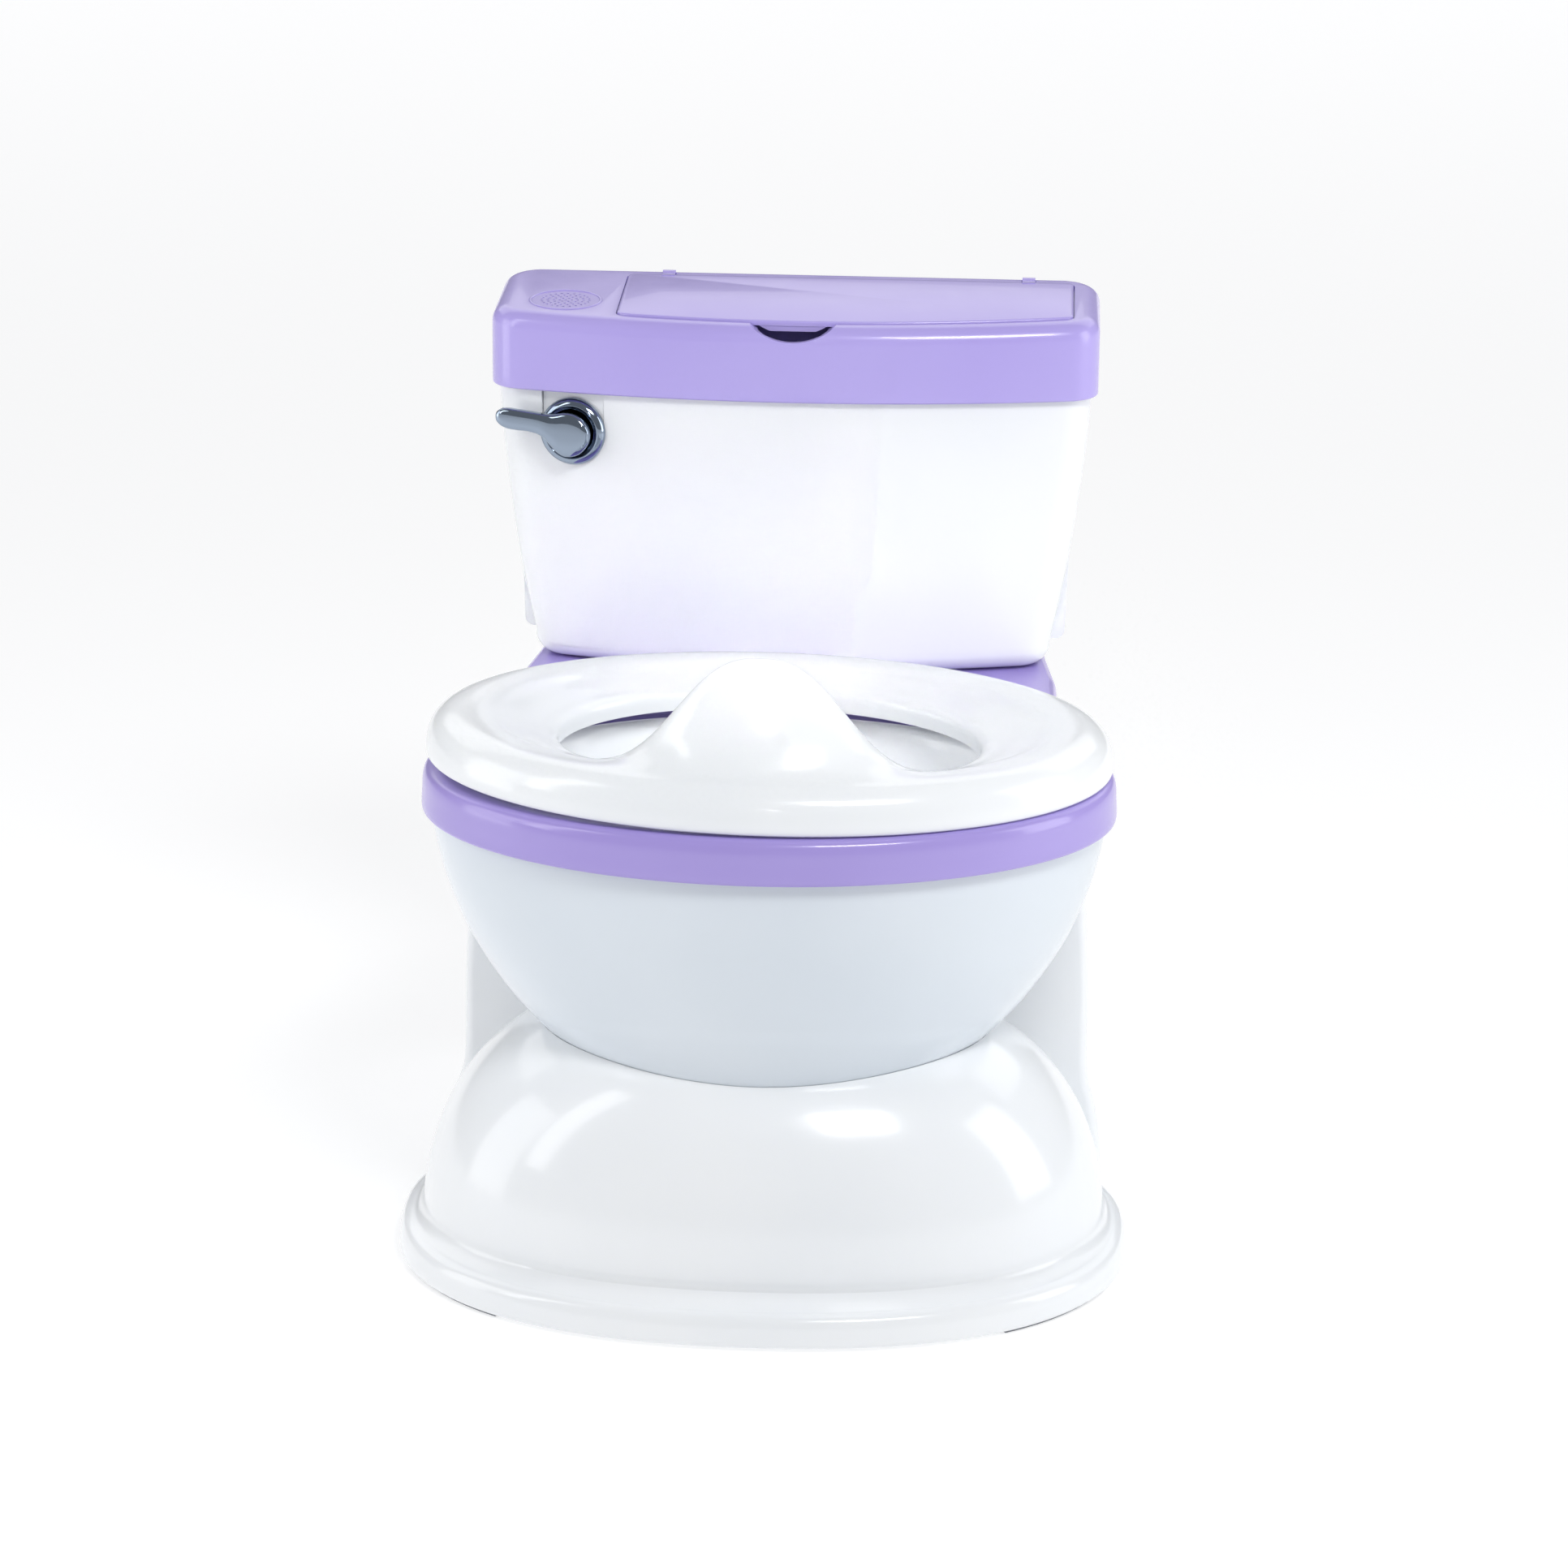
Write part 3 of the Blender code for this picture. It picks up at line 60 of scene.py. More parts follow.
SEAT_RISE, SEAT_ROLL, SEAT_PITCH = 0.0027, 0.0132, 0.0188
POT_RIM, POT_RIM_Z, POT_FLOOR_Z = (0.1135, 0.0795), 0.2006, 0.1120
TANK_BOTTOM, TANK_BACK_Y, TANK_EDGE = 0.2015, 0.1768, 0.0095
FRONT_BOW = 0.0150
LID_BOTTOM, LID_HALF, LID_FRONT_Y, LID_BACK_Y = 0.3245, 0.1317, 0.0862, 0.1800
LID_EDGE, LID_WALL = 0.0070, 0.0025
DOOR_X, DOOR_FRONT_Y, DOOR_BACK_Y, HINGE_Y = (-0.0765, 0.1200), 0.0950, 0.1670, 0.1715
DOOR_THICK, DOOR_PROUD = 0.0022, 0.0010
NOTCH_RADIUS, NOTCH_BOTTOM, LIP_BOTTOM, LIP_CLEARANCE = 0.0290, 0.3508, 0.3540, 0.0014
KNUCKLE_X, KNUCKLE_LENGTH, KNUCKLE_RADIUS = (-0.0589, 0.1002), 0.0057, 0.0030
PIN_RADIUS, PIN_LENGTH = 0.0009, 0.0120
LEVER_X, LEVER_Z, PLATE_HALF, LEVER_DEPTH = -0.0949, 0.3069, 0.0137, -0.0085
SPEAKER = (-0.1005, 0.1245)
BATTERY_X, BATTERY_Z, BATTERY_HALF = -0.0885, (0.2265, 0.2735), 0.0133

AROUND = 144                 # points round each large section


# ------------------------------------------------------------------ node materials
def rgb(red, green, blue):
    """Linear colour from 0-255 display values."""
    def linear(value):
        value /= 255
        return value / 12.92 if value <= 0.04045 else ((value + 0.055) / 1.055) ** 2.4
    return (linear(red), linear(green), linear(blue), 1.0)


class Material:
    """A Principled material with helpers that add procedural detail to it."""

    def __init__(self, name, colour, roughness, metallic=0.0, **sockets):
        self.material = bpy.data.materials.new(name)
        self.material.use_nodes = True
        self.nodes = self.material.node_tree.nodes
        self.links = self.material.node_tree.links
        self.shader = self.nodes["Principled BSDF"]
        self.coordinates = self.nodes.new("ShaderNodeTexCoord").outputs["Object"]
        self.set(Base_Color=colour, Roughness=roughness, Metallic=metallic, **sockets)
        self.base, self.colour, self.normal = colour, None, None

    def set(self, **sockets):
        for name, value in sockets.items():
            self.shader.inputs[name.replace("_", " ")].default_value = value

    def stretch(self, scale):
        mapping = self.nodes.new("ShaderNodeMapping")
        mapping.inputs["Scale"].default_value = scale
        self.links.new(self.coordinates, mapping.inputs["Vector"])
        return mapping.outputs["Vector"]

    def noise(self, scale, detail=3.0, rough=0.5, stretch=None):
        node = self.nodes.new("ShaderNodeTexNoise")
        node.inputs["Scale"].default_value = scale
        node.inputs["Detail"].default_value = detail
        node.inputs["Roughness"].default_value = rough
        self.links.new(self.stretch(stretch) if stretch else self.coordinates, node.inputs["Vector"])
        return node.outputs["Fac"]

    def ranged(self, value, low, high, to_low, to_high):
        node = self.nodes.new("ShaderNodeMapRange")
        for name, number in (("From Min", low), ("From Max", high), ("To Min", to_low), ("To Max", to_high)):
            node.inputs[name].default_value = number
        self.links.new(value, node.inputs["Value"])
        return node.outputs["Result"]

    def tint(self, factor, colour):
        """Blends the colour so far towards another by a factor."""
        mix = self.nodes.new("ShaderNodeMix")
        mix.data_type = "RGBA"
        self.links.new(factor, mix.inputs["Factor"])
        if self.colour is None:
            mix.inputs["A"].default_value = self.base
        else:
            self.links.new(self.colour, mix.inputs["A"])
        mix.inputs["B"].default_value = colour
        self.colour = mix.outputs["Result"]
        self.links.new(self.colour, self.shader.inputs["Base Color"])

    def vary_roughness(self, value, low, high):
        self.links.new(self.ranged(value, 0.3, 0.7, low, high), self.shader.inputs["Roughness"])

    def bump(self, value, strength, distance):
        node = self.nodes.new("ShaderNodeBump")
        node.inputs["Strength"].default_value = strength
        node.inputs["Distance"].default_value = distance
        self.links.new(value, node.inputs["Height"])
        if self.normal is not None:
            self.links.new(self.normal, node.inputs["Normal"])
        self.normal = node.outputs["Normal"]
        self.links.new(self.normal, self.shader.inputs["Normal"])


def moulded(name, colour, shade, roughness):
    """Glossy moulded plastic: colour drift, flow ripple, orange peel, and scuffs that change the gloss."""
    made = Material(name, colour, roughness)
    made.set(
        Coat_Weight=0.25, Coat_Roughness=0.05, Specular_IOR_Level=0.5,
        Subsurface_Weight=0.04, Subsurface_Radius=(0.004, 0.004, 0.005), Subsurface_Scale=0.4,
    )
    made.tint(made.ranged(made.noise(9.0, 2.0), 0.35, 0.70, 0.0, 1.0), shade)
    scuffs = made.noise(60.0, 6.0, 0.75, (1.0, 1.0, 7.0))
    made.vary_roughness(scuffs, roughness * 0.75, roughness * 1.35)
    made.bump(made.noise(900.0, 2.0), 0.035, 0.0002)
    made.bump(made.noise(28.0, 1.0), 0.05, 0.0008)
    return made


WHITE = moulded("moulded_white", rgb(243, 245, 247), rgb(238, 241, 244), 0.17)
# The bowl's material is painted shade: a darker, cooler copy of the moulded white that stands in for the shade
# on the bowl's downward-facing front.
BOWL_WHITE_PAINTED_SHADE = moulded("bowl_white_painted_shade", rgb(222, 229, 236), rgb(216, 224, 232), 0.17)
POT_WHITE_PAINTED_GLOW = moulded("pot_white_painted_glow", rgb(245, 247, 249), rgb(240, 243, 246), 0.15)
# The pot's faint white emission is painted light: the pot glows so that its inner wall, seen through the
# seat's opening, looks lit.
POT_WHITE_PAINTED_GLOW.set(Emission_Color=(0.96, 0.97, 1.0, 1.0), Emission_Strength=0.08)
LILAC = moulded("moulded_lilac", rgb(184, 171, 235), rgb(178, 164, 231), 0.20)
# The ring's material is painted shade: a darker copy of the lilac that stands in for the shade on the ring's
# upright front wall.
RING_LILAC_PAINTED_SHADE = moulded("ring_lilac_painted_shade", rgb(170, 155, 222), rgb(164, 148, 217), 0.20)
CHROME = Material("chrome_plate", (0.30, 0.36, 0.45, 1.0), 0.05, 1.0)
CHROME.vary_roughness(CHROME.noise(120.0, 5.0, 0.7), 0.03, 0.11)
STEEL = Material("screw_steel", rgb(176, 178, 182), 0.32, 1.0)
STEEL.vary_roughness(STEEL.noise(900.0, 4.0), 0.25, 0.45)
STEEL.bump(STEEL.noise(1500.0, 2.0), 0.1, 0.0001)
RUBBER = Material("pad_rubber", rgb(120, 124, 130), 0.8)
RUBBER.tint(RUBBER.ranged(RUBBER.noise(300.0, 4.0), 0.4, 0.7, 0.0, 0.6), rgb(150, 154, 160))
RUBBER.bump(RUBBER.noise(1600.0, 3.0), 0.5, 0.0003)
BLACK = Material("satin_black", rgb(34, 34, 37), 0.45)
BLACK.vary_roughness(BLACK.noise(700.0, 4.0), 0.35, 0.6)
BLACK.bump(BLACK.noise(2200.0, 2.0), 0.25, 0.0002)
GREEN = Material("solder_mask", rgb(32, 104, 60), 0.35)
GREEN.tint(GREEN.ranged(GREEN.noise(420.0, 1.0, 0.5, (1.0, 1.0, 3.0)), 0.52, 0.55, 0.0, 1.0), rgb(60, 140, 84))
WRAP = Material("battery_film", rgb(52, 96, 150), 0.25)
WRAP.tint(WRAP.ranged(WRAP.noise(40.0, 1.0), 0.45, 0.55, 0.0, 0.5), rgb(40, 78, 128))


# ------------------------------------------------------------------ mesh helpers
cutters = bpy.data.collections.new("cutters")


def new_object(name, bm, material=None, matrix=None, smooth=35):
    """A shown piece where a material is given, else a cutter."""
    bmesh.ops.recalc_face_normals(bm, faces=bm.faces)
    mesh = bpy.data.meshes.new(name)
    bm.to_mesh(mesh)
    bm.free()
    mesh.shade_smooth()
    mesh.set_sharp_from_angle(angle=radians(smooth))
    obj = bpy.data.objects.new(name, mesh)
    if material is not None:
        mesh.materials.append(material.material)
    scene.collection.objects.link(obj)
    if matrix is not None:
        obj.matrix_world = matrix
    return obj


def apply_boolean(obj, other, operation="DIFFERENCE"):
    """Cuts or joins at once, and removes the other object."""
    modifier = obj.modifiers.new("boolean", "BOOLEAN")
    modifier.operation, modifier.object, modifier.solver = operation, other, "EXACT"
    bpy.context.view_layer.update()
    graph = bpy.context.evaluated_depsgraph_get()
    mesh = bpy.data.meshes.new_from_object(obj.evaluated_get(graph))
    obj.modifiers.clear()
    obj.data = mesh
    bpy.data.objects.remove(other)
    return obj


def cut(obj, bm, matrix=None):
    return apply_boolean(obj, new_object("cutter", bm, None, matrix))


def join(obj, bm, matrix=None):
    return apply_boolean(obj, new_object("joined", bm, None, matrix), "UNION")


def settle(obj, angle=35, edge=0.0, segments=2):
    """Last steps of a piece: rounded hard edges, then smooth shading that keeps the sharp ones."""
    if edge:
        bm = bmesh.new()
        bm.from_mesh(obj.data)
        bmesh.ops.remove_doubles(bm, verts=bm.verts, dist=0.00001)
        bm.to_mesh(obj.data)
        bm.free()
        modifier = obj.modifiers.new("rounded", "BEVEL")
        modifier.width, modifier.segments, modifier.angle_limit = edge, segments, radians(angle)
        modifier.use_clamp_overlap = True
        modifier.harden_normals = True
    obj.data.shade_smooth()
    obj.data.set_sharp_from_angle(angle=radians(angle))
    return obj


def show(obj, body, *replaced, slot=None):
    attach(obj, body)
    if replaced:
        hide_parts(*replaced)
    return obj


def loft(rings, closed=False):
    bm = bmesh.new()
    rows = [[bm.verts.new(point) for point in ring] for ring in rings]
    count = len(rows[0])
    for lower, upper in list(zip(rows, rows[1:] + rows[:1]))[: None if closed else -1]:
        for i in range(count):
            j = (i + 1) % count
            bm.faces.new((lower[i], lower[j], upper[j], upper[i]))
    if not closed:
        bm.faces.new(list(reversed(rows[0])))
        bm.faces.new(rows[-1])
    return bm


def spline(points, steps):
    """Centripetal curve through points or rows of numbers."""
    points = [Vector(p) for p in points]
    result = []
    for i in range(len(points) - 1):
        p1, p2 = points[i], points[i + 1]
        p0 = points[i - 1] if i else p1 * 2 - p2
        p3 = points[i + 2] if i + 2 < len(points) else p2 * 2 - p1
        k0, k1, k2 = (max((b - a).length, 1e-7) ** 0.5 for a, b in ((p0, p1), (p1, p2), (p2, p3)))
        m1 = (p1 - p0) / k0 - (p2 - p0) / (k0 + k1) + (p2 - p1) / k1
        m2 = (p2 - p1) / k1 - (p3 - p1) / (k1 + k2) + (p3 - p2) / k2
        m1, m2 = m1 * k1, m2 * k1
        for s in range(steps):
            t = s / steps
            result.append(
                p1 * (2 * t ** 3 - 3 * t ** 2 + 1) + m1 * (t ** 3 - 2 * t ** 2 + t)
                + p2 * (3 * t ** 2 - 2 * t ** 3) + m2 * (t ** 3 - t ** 2)
            )
    return result + [points[-1]]


def smooth_rings(rings, steps):
    """Fills in rings along smooth curves through the points of the given ones."""
    columns = [spline([ring[i] for ring in rings], steps) for i in range(len(rings[0]))]
    return [[column[k] for column in columns] for k in range(len(columns[0]))]


def box(low, high):
    bm = bmesh.new()
    bmesh.ops.create_cube(bm, size=1.0)
    low, high = Vector(low), Vector(high)
    for vert in bm.verts:
        vert.co = Vector(low[i] + (vert.co[i] + 0.5) * (high[i] - low[i]) for i in range(3))
    return bm


AXIS_TURN = {"Z": Matrix(), "Y": Matrix.Rotation(-pi / 2, 4, "X"), "X": Matrix.Rotation(pi / 2, 4, "Y")}


def cylinders(places, length, radius, axis="Z", sides=24):
    """One mesh of separate cylinders, each from its place along +axis."""
    bm = bmesh.new()
    for place in places:
        made = bmesh.ops.create_cone(
            bm, cap_ends=True, segments=sides, depth=length, radius1=radius, radius2=radius
        )
        move = Matrix.Translation(Vector(place)) @ AXIS_TURN[axis] @ Matrix.Translation((0, 0, length / 2))
        bmesh.ops.transform(bm, matrix=move, verts=made["verts"])
    return bm


def turned(profile, steps=64, matrix=None, closed=False):
    """A turned mesh from (radius, z) pairs. It closes at the axis where the radius is 0, or on itself."""
    angles = [2 * pi * k / steps for k in range(steps)]
    rings = [[Vector((r * cos(a), r * sin(a), z)) for a in angles] for r, z in profile]
    bm = loft(rings, closed)
    bmesh.ops.remove_doubles(bm, verts=bm.verts, dist=0.000001)
    if matrix is not None:
        bmesh.ops.transform(bm, matrix=matrix, verts=bm.verts)
    return bm


def signed_power(value, power):
    return (1 if value >= 0 else -1) * abs(value) ** power


def oval(half_width, front, back, centre_y, z, power=2.0):
    points = []
    for i in range(AROUND):
        angle = 2 * pi * i / AROUND
        depth = back if sin(angle) > 0 else front
        points.append(Vector((
            half_width * signed_power(cos(angle), 2 / power),
            centre_y + depth * signed_power(sin(angle), 2 / power), z,
        )))
    return points


def rounded_outline(corners, radii, steps=8):
    """An outline with a rounded corner of its own radius at each point, 0 for a sharp one."""
    points, count = [], len(corners)
    for i in range(count):
        here = Vector(corners[i])
        to_last = (Vector(corners[i - 1]) - here).normalized()
        to_next = (Vector(corners[(i + 1) % count]) - here).normalized()
        if radii[i] <= 0:
            points.append(here)
            continue
        half = to_last.angle(to_next) / 2
        centre = here + (to_last + to_next).normalized() * radii[i] / sin(half)
        start = here + to_last * radii[i] / tan(half) - centre
        end = here + to_next * radii[i] / tan(half) - centre
        sweep = atan2(start.x * end.y - start.y * end.x, start.dot(end))
        points += [centre + Matrix.Rotation(sweep * k / steps, 2) @ start for k in range(steps + 1)]
    return points


def bowed_outline(half_width, front_y, back_y, radius, steps=9, front_steps=36):
    """A box outline with rounded corners and a front that bulges by FRONT_BOW."""
    end_x = half_width - radius
    slope = atan(2 * FRONT_BOW / end_x)
    centre_y = front_y + FRONT_BOW + radius * cos(slope)
    edge_x = end_x + radius * sin(slope)
    points = []
    for k in range(1, front_steps):
        x = edge_x * (2 * k / front_steps - 1)
        points.append(Vector((x, centre_y - radius * cos(slope) - FRONT_BOW * (1 - (x / edge_x) ** 2))))
    for side, middle_y, start, sweep in (
        (1, centre_y, -pi / 2 + slope, pi / 2 - slope), (1, back_y - radius, 0, pi / 2),
        (-1, back_y - radius, pi / 2, pi / 2), (-1, centre_y, pi, pi / 2 - slope),
    ):
        for k in range(steps + 1):
            angle = start + sweep * k / steps
            points.append(Vector((side * end_x + radius * cos(angle), middle_y + radius * sin(angle))))
    return points


def at_height(outline, z):
    return [Vector((p.x, p.y, z)) for p in outline]


def between(table, z):
    """Reads a table of (z, value) pairs in straight lines."""
    for (z0, v0), (z1, v1) in zip(table, table[1:]):
        if z <= z1:
            return v0 + (v1 - v0) * (z - z0) / (z1 - z0)
    return table[-1][1]


def dense(table, steps=6):
    """The rows of a table with more on smooth curves between them."""
    return [tuple(row) for row in spline(table, steps)]


# ------------------------------------------------------------------ bowl
BOWL_PROFILE = [             # z, half-width, half-depth
    (0.0840, 0.0640, 0.0560), (0.0850, 0.0790, 0.0690), (0.0897, 0.0863, 0.0752), (0.0973, 0.0935, 0.0810),
    (0.1090, 0.1055, 0.0858), (0.1230, 0.1160, 0.0895), (0.1375, 0.1245, 0.0924), (0.1510, 0.1300, 0.0945),
    (0.1650, 0.1345, 0.0960), (0.1800, 0.1377, 0.0971), (0.1968, 0.1388, 0.0984),
]
SEAM_Z, SEAM_TILT = 0.0973, 0.25     # the bowl's joint line at its middle, and its rise towards the front
SEAM_STEP, SEAM_BLEND = 0.0005, 0.0016


def bowl_rings(inset, steps):
    return [oval(w - inset, d - inset, d - inset, BOWL_Y, z) for z, w, d in dense(BOWL_PROFILE, steps)]


def make_bowl():
    """The band below the tilted joint line stands a little proud, which draws the line as an edge."""
    outer = bowl_rings(0.0, 6)
    for ring in outer:
        for point in ring:
            above = point.z - (SEAM_Z + SEAM_TILT * (BOWL_Y - point.y))
            from_foot = min(1.0, max(0.0, (point.z - 0.086) / 0.004))
            band = min(max(0.5 - above / SEAM_BLEND, 0.0), 1.0) * from_foot
            fade = 1 if point.z < 0.13 else max(0.0, 1 - (point.z - 0.13) / 0.03)
            outward = Vector((point.x, point.y - BOWL_Y, 0)).normalized()
            point -= outward * SEAM_STEP * (1 - band) * fade
    inner = bowl_rings(WALL, 2)[2:]
    for ring in inner[:4]:
        for point in ring:
            point.z += WALL * 0.6
    bowl = new_object("bowl_fine", loft(outer + inner[::-1]), BOWL_WHITE_PAINTED_SHADE)
    settle(bowl, 50)
    show(bowl, "chair", "bowl_shell", slot="white_plastic")


# ------------------------------------------------------------------ base
BODY_WIDTHS = [
    (0.0000, 0.1430), (0.0170, 0.1420), (0.0350, 0.1390), (0.0450, 0.1362), (0.0900, 0.1350),
    (0.1250, 0.1330), (0.1600, 0.1310), (0.1850, 0.1275), (0.1860, 0.1236), (0.1968, 0.1236),
]
BODY_TAPER = [(0.918, 0.065), (0.911, 0.099), (0.876, 0.140)]
DECK_TAIL = [(0.1410, -0.0450), (0.1320, 0.0150), (0.1182, 0.0600), (0.1173, 0.0990), (0.1126, 0.1400)]
TANK_SCREWS = [(side * 0.070, y) for side in (-1, 1) for y in (0.112, 0.158)]


def mirrored_outline(right, radii, steps=8):
    left = [(-x, y) for x, y in reversed(right)]
    return rounded_outline(right + left, radii + radii[::-1], steps)


def body_outline(half_width, front_y, back_y, inset=0.0):
    right = [(half_width - inset, front_y)]
    right += [(half_width * share - inset, y) for share, y in BODY_TAPER]
    right += [(half_width * 0.86 - inset, back_y - inset)]
    return mirrored_outline(right, [0.004, 0.03, 0.03, 0.03, REAR_RADIUS - inset])


def deck_outline(inset):
    right = [(x - inset, y) for x, y in DECK_TAIL] + [(0.1105 - inset, DECK_BACK_Y - inset)]
    return mirrored_outline(right, [0.004, 0.10, 0.06, 0.03, 0.03, REAR_RADIUS - inset])


def dome_ring(z, inset=0.0):
    share = (1 - (min(max(z, 0.0), DOME_TOP) / DOME_HEIGHT) ** DOME_POWER) ** (1 / DOME_POWER)
    width, front, back = (size * share - inset for size in (DOME_HALF, DOME_FRONT, DOME_BACK))
    return oval(width, front, back, FLANGE_Y, z, OVAL_POWER)


def flange_ring(z, inset):
    return oval(FLANGE_HALF - inset, FLANGE_FRONT - inset, FLANGE_BACK - inset, FLANGE_Y, z, OVAL_POWER)


def make_base():
    """The domed foot and the rear body in one, hollow and open below, with a socket for the bowl."""
    dome_start, dome_end, dome_steps = 0.0230, 0.1075, 42
    rings = smooth_rings([
        flange_ring(FOOT_Z, 0.0008), flange_ring(FOOT_Z + 0.0010, 0.0), flange_ring(0.0060, 0.0001),
        flange_ring(0.0105, 0.0006), flange_ring(0.0132, 0.0020), flange_ring(FLANGE_TOP - 0.0004, 0.0045),
        flange_ring(FLANGE_TOP, 0.0070), dome_ring(0.0185), dome_ring(dome_start),
    ], 4)
    for k in range(1, dome_steps + 1):
        rings.append(dome_ring(dome_start + (dome_end - dome_start) * k / dome_steps))
    base = new_object("base_fine", loft(rings), WHITE)
    lower = dense(BODY_WIDTHS[:8], 5)
    body = [at_height(body_outline(w, BODY_FRONT_Y, BODY_BACK_Y), max(z, FOOT_Z)) for z, w in lower]
    body += [at_height(body_outline(w, BODY_FRONT_Y, BODY_BACK_Y), z) for z, w in BODY_WIDTHS[8:]]
    join(base, loft(body))
    cut(base, loft([dome_ring(z, WALL) for z in (-0.01, 0.026, 0.058, 0.084, 0.102)]))
    foot_band = 0.013
    insets = [(-0.01, foot_band), (0.006, foot_band), (0.008, WALL)]
    insets += [(z, WALL) for z, _ in BODY_WIDTHS[2:-2]] + [(BASE_TOP - WALL, WALL)]
    inner = []
    for z, inset in insets:
        width = between(BODY_WIDTHS, max(z, 0.0))
        inner.append(at_height(body_outline(width, BODY_FRONT_Y + inset, BODY_BACK_Y, inset), z))
    cut(base, loft(inner))
    clearance = bowl_rings(-GAP, 2)
    clearance.append([p + Vector((0, 0, 0.01)) for p in clearance[-1]])
    for ring in clearance[:2]:
        for point in ring:
            point.z -= GAP
    cut(base, loft(clearance))
    cut(base, cylinders([(x, y, BASE_TOP - WALL - 0.002) for x, y in TANK_SCREWS], 0.008, 0.0042))
    settle(base, 30)
    show(base, "chair", "base_shell", slot="white_plastic")


# ------------------------------------------------------------------ deck
def ring_section(inset, z):
    return oval(RING_HALF - inset, RING_DEPTH - inset, RING_DEPTH - inset, BOWL_Y, z)


def make_deck():
    """The ring round the bowl with its raised lip, joined to the platform under the tank."""
    ring = smooth_rings([ring_section(inset, z) for inset, z in (
        (0.0006, DECK_BOTTOM), (0.0000, DECK_BOTTOM + 0.0008), (0.0002, 0.1950), (0.0006, 0.2008),
        (0.0018, 0.2036), (0.0046, DECK_LIP), (0.0080, DECK_LIP + 0.0001), (0.0108, DECK_LIP - 0.0003),
        (0.0128, 0.2030), (0.0140, DECK_FLAT),
    )], 4)
    platform = smooth_rings([at_height(deck_outline(inset), z) for inset, z in (
        (0.0004, DECK_BOTTOM), (0.0, DECK_BOTTOM + 0.0006), (0.0002, 0.1955), (0.0012, 0.1990),
        (0.0036, DECK_PLATFORM),
    )], 3)
    seat_bed = smooth_rings([ring_section(inset, z) for inset, z in (
        (0.0150, DECK_FLAT), (0.0135, DECK_FLAT + 0.0016), (0.0115, DECK_LIP - 0.0004),
        (0.0102, DECK_LIP + 0.0010), (0.0102, DECK_LIP + 0.01),
    )], 3)
    under = (DECK_BOTTOM - 0.01, DECK_FLAT - WALL)
    deck = new_object("deck_fine", loft(ring), RING_LILAC_PAINTED_SHADE)
    join(deck, loft(platform))
    cut(deck, loft([at_height(deck_outline(WALL), z) for z in under]))
    cut(deck, loft([ring_section(WALL, z) for z in under]))
    cut(deck, loft(seat_bed))
    cut(deck, loft([oval(0.1080, 0.0745, 0.0745, BOWL_Y, z) for z in (0.19, 0.21)]))
    settle(deck, 35)
    show(deck, "chair", "deck", slot="lilac_plastic")


# ------------------------------------------------------------------ pot and seat
def make_pot():
    floor, top = POT_FLOOR_Z, POT_RIM_Z + 0.0025
    rim_width, rim_depth = POT_RIM
    outside = [               # z, half-width, half-depth
        (floor, 0.0640, 0.0440), (floor + 0.0020, 0.0740, 0.0520), (floor + 0.0090, 0.0815, 0.0580),
        (0.1500, 0.0930, 0.0655), (0.1850, 0.1030, 0.0712), (POT_RIM_Z, 0.1066, 0.0732),
    ]
    inside = [
        (POT_RIM_Z, rim_width - 0.0008, rim_depth - 0.0008), (POT_RIM_Z + 0.0012, rim_width, rim_depth),
        (top, rim_width - 0.0010, rim_depth - 0.0010), (top, 0.1072, 0.0738), (0.1996, 0.1044, 0.0710),
        (0.1850, 0.1008, 0.0690), (0.1500, 0.0908, 0.0633), (floor + 0.0115, 0.0795, 0.0560),
        (floor + 0.0045, 0.0735, 0.0515), (floor + 0.0024, 0.0630, 0.0430),
    ]
    rings = []
    for profile in (outside, inside):
        rings += smooth_rings([oval(w, d, d, BOWL_Y, z) for z, w, d in profile], 5)
    pot = new_object("pot_fine", loft(rings), POT_WHITE_PAINTED_GLOW)
    settle(pot, 60)
    show(pot, "pot", "pot", slot="white_plastic")


SEAT_OUTER, SEAT_CREASE, SEAT_OPENING = (0.1405, 0.0985), (0.1165, 0.0780), (0.0880, 0.0650)
SEAT_TOP = [                 # share of the crease, share of the opening, inset, z, share of the guard, lean
    (0, 0, 0.0014, SEAT_BOTTOM, 0, 0), (0, 0, 0.0002, SEAT_BOTTOM + 0.0010, 0, 0),
    (0, 0, 0.0000, 0.2110, 0, 0), (0, 0, 0.0022, 0.2180, 0, 0), (0, 0, 0.0070, 0.2225, 0.01, 0),
    (0, 0, 0.0120, SEAT_RIM_TOP, 0.05, 0), (1, 0, 0.0, 0.2230, 0.34, 0),
    (0.72, 0.28, 0.0, 0.2205, 0.70, 0.0015), (0.45, 0.55, 0.0, 0.2185, 0.95, 0.0015),
    (0.22, 0.78, 0.0, 0.2165, 1.06, 0.0015), (0.04, 0.96, 0.0, 0.2150, 1.04, 0.0035),
    (0, 1, 0.0012, 0.2128, 0.90, 0.0050), (0, 1, 0.0010, 0.2065, 0, 0),
]
SEAT_UNDER = [
    (0, 1, -0.0018, 0.2065, 0, 0), (0.04, 0.96, -0.0010, 0.2122, 0.88, 0.0028),
    (0.35, 0.65, 0.0, 0.2152, 0.97, 0.0012), (0.72, 0.28, 0.0, 0.2178, 0.64, 0.0005),
    (1, 0, 0.0, 0.2202, 0.29, 0), (0, 0, 0.0115, 0.2210, 0.03, 0), (0, 0, 0.0044, 0.2160, 0, 0),
    (0, 0, 0.0030, 0.2100, 0, 0), (0, 0, 0.0080, SEAT_BOTTOM, 0, 0),
]
SEAT_CROWDING = 0.40         # how far the points crowd towards the guard at the front


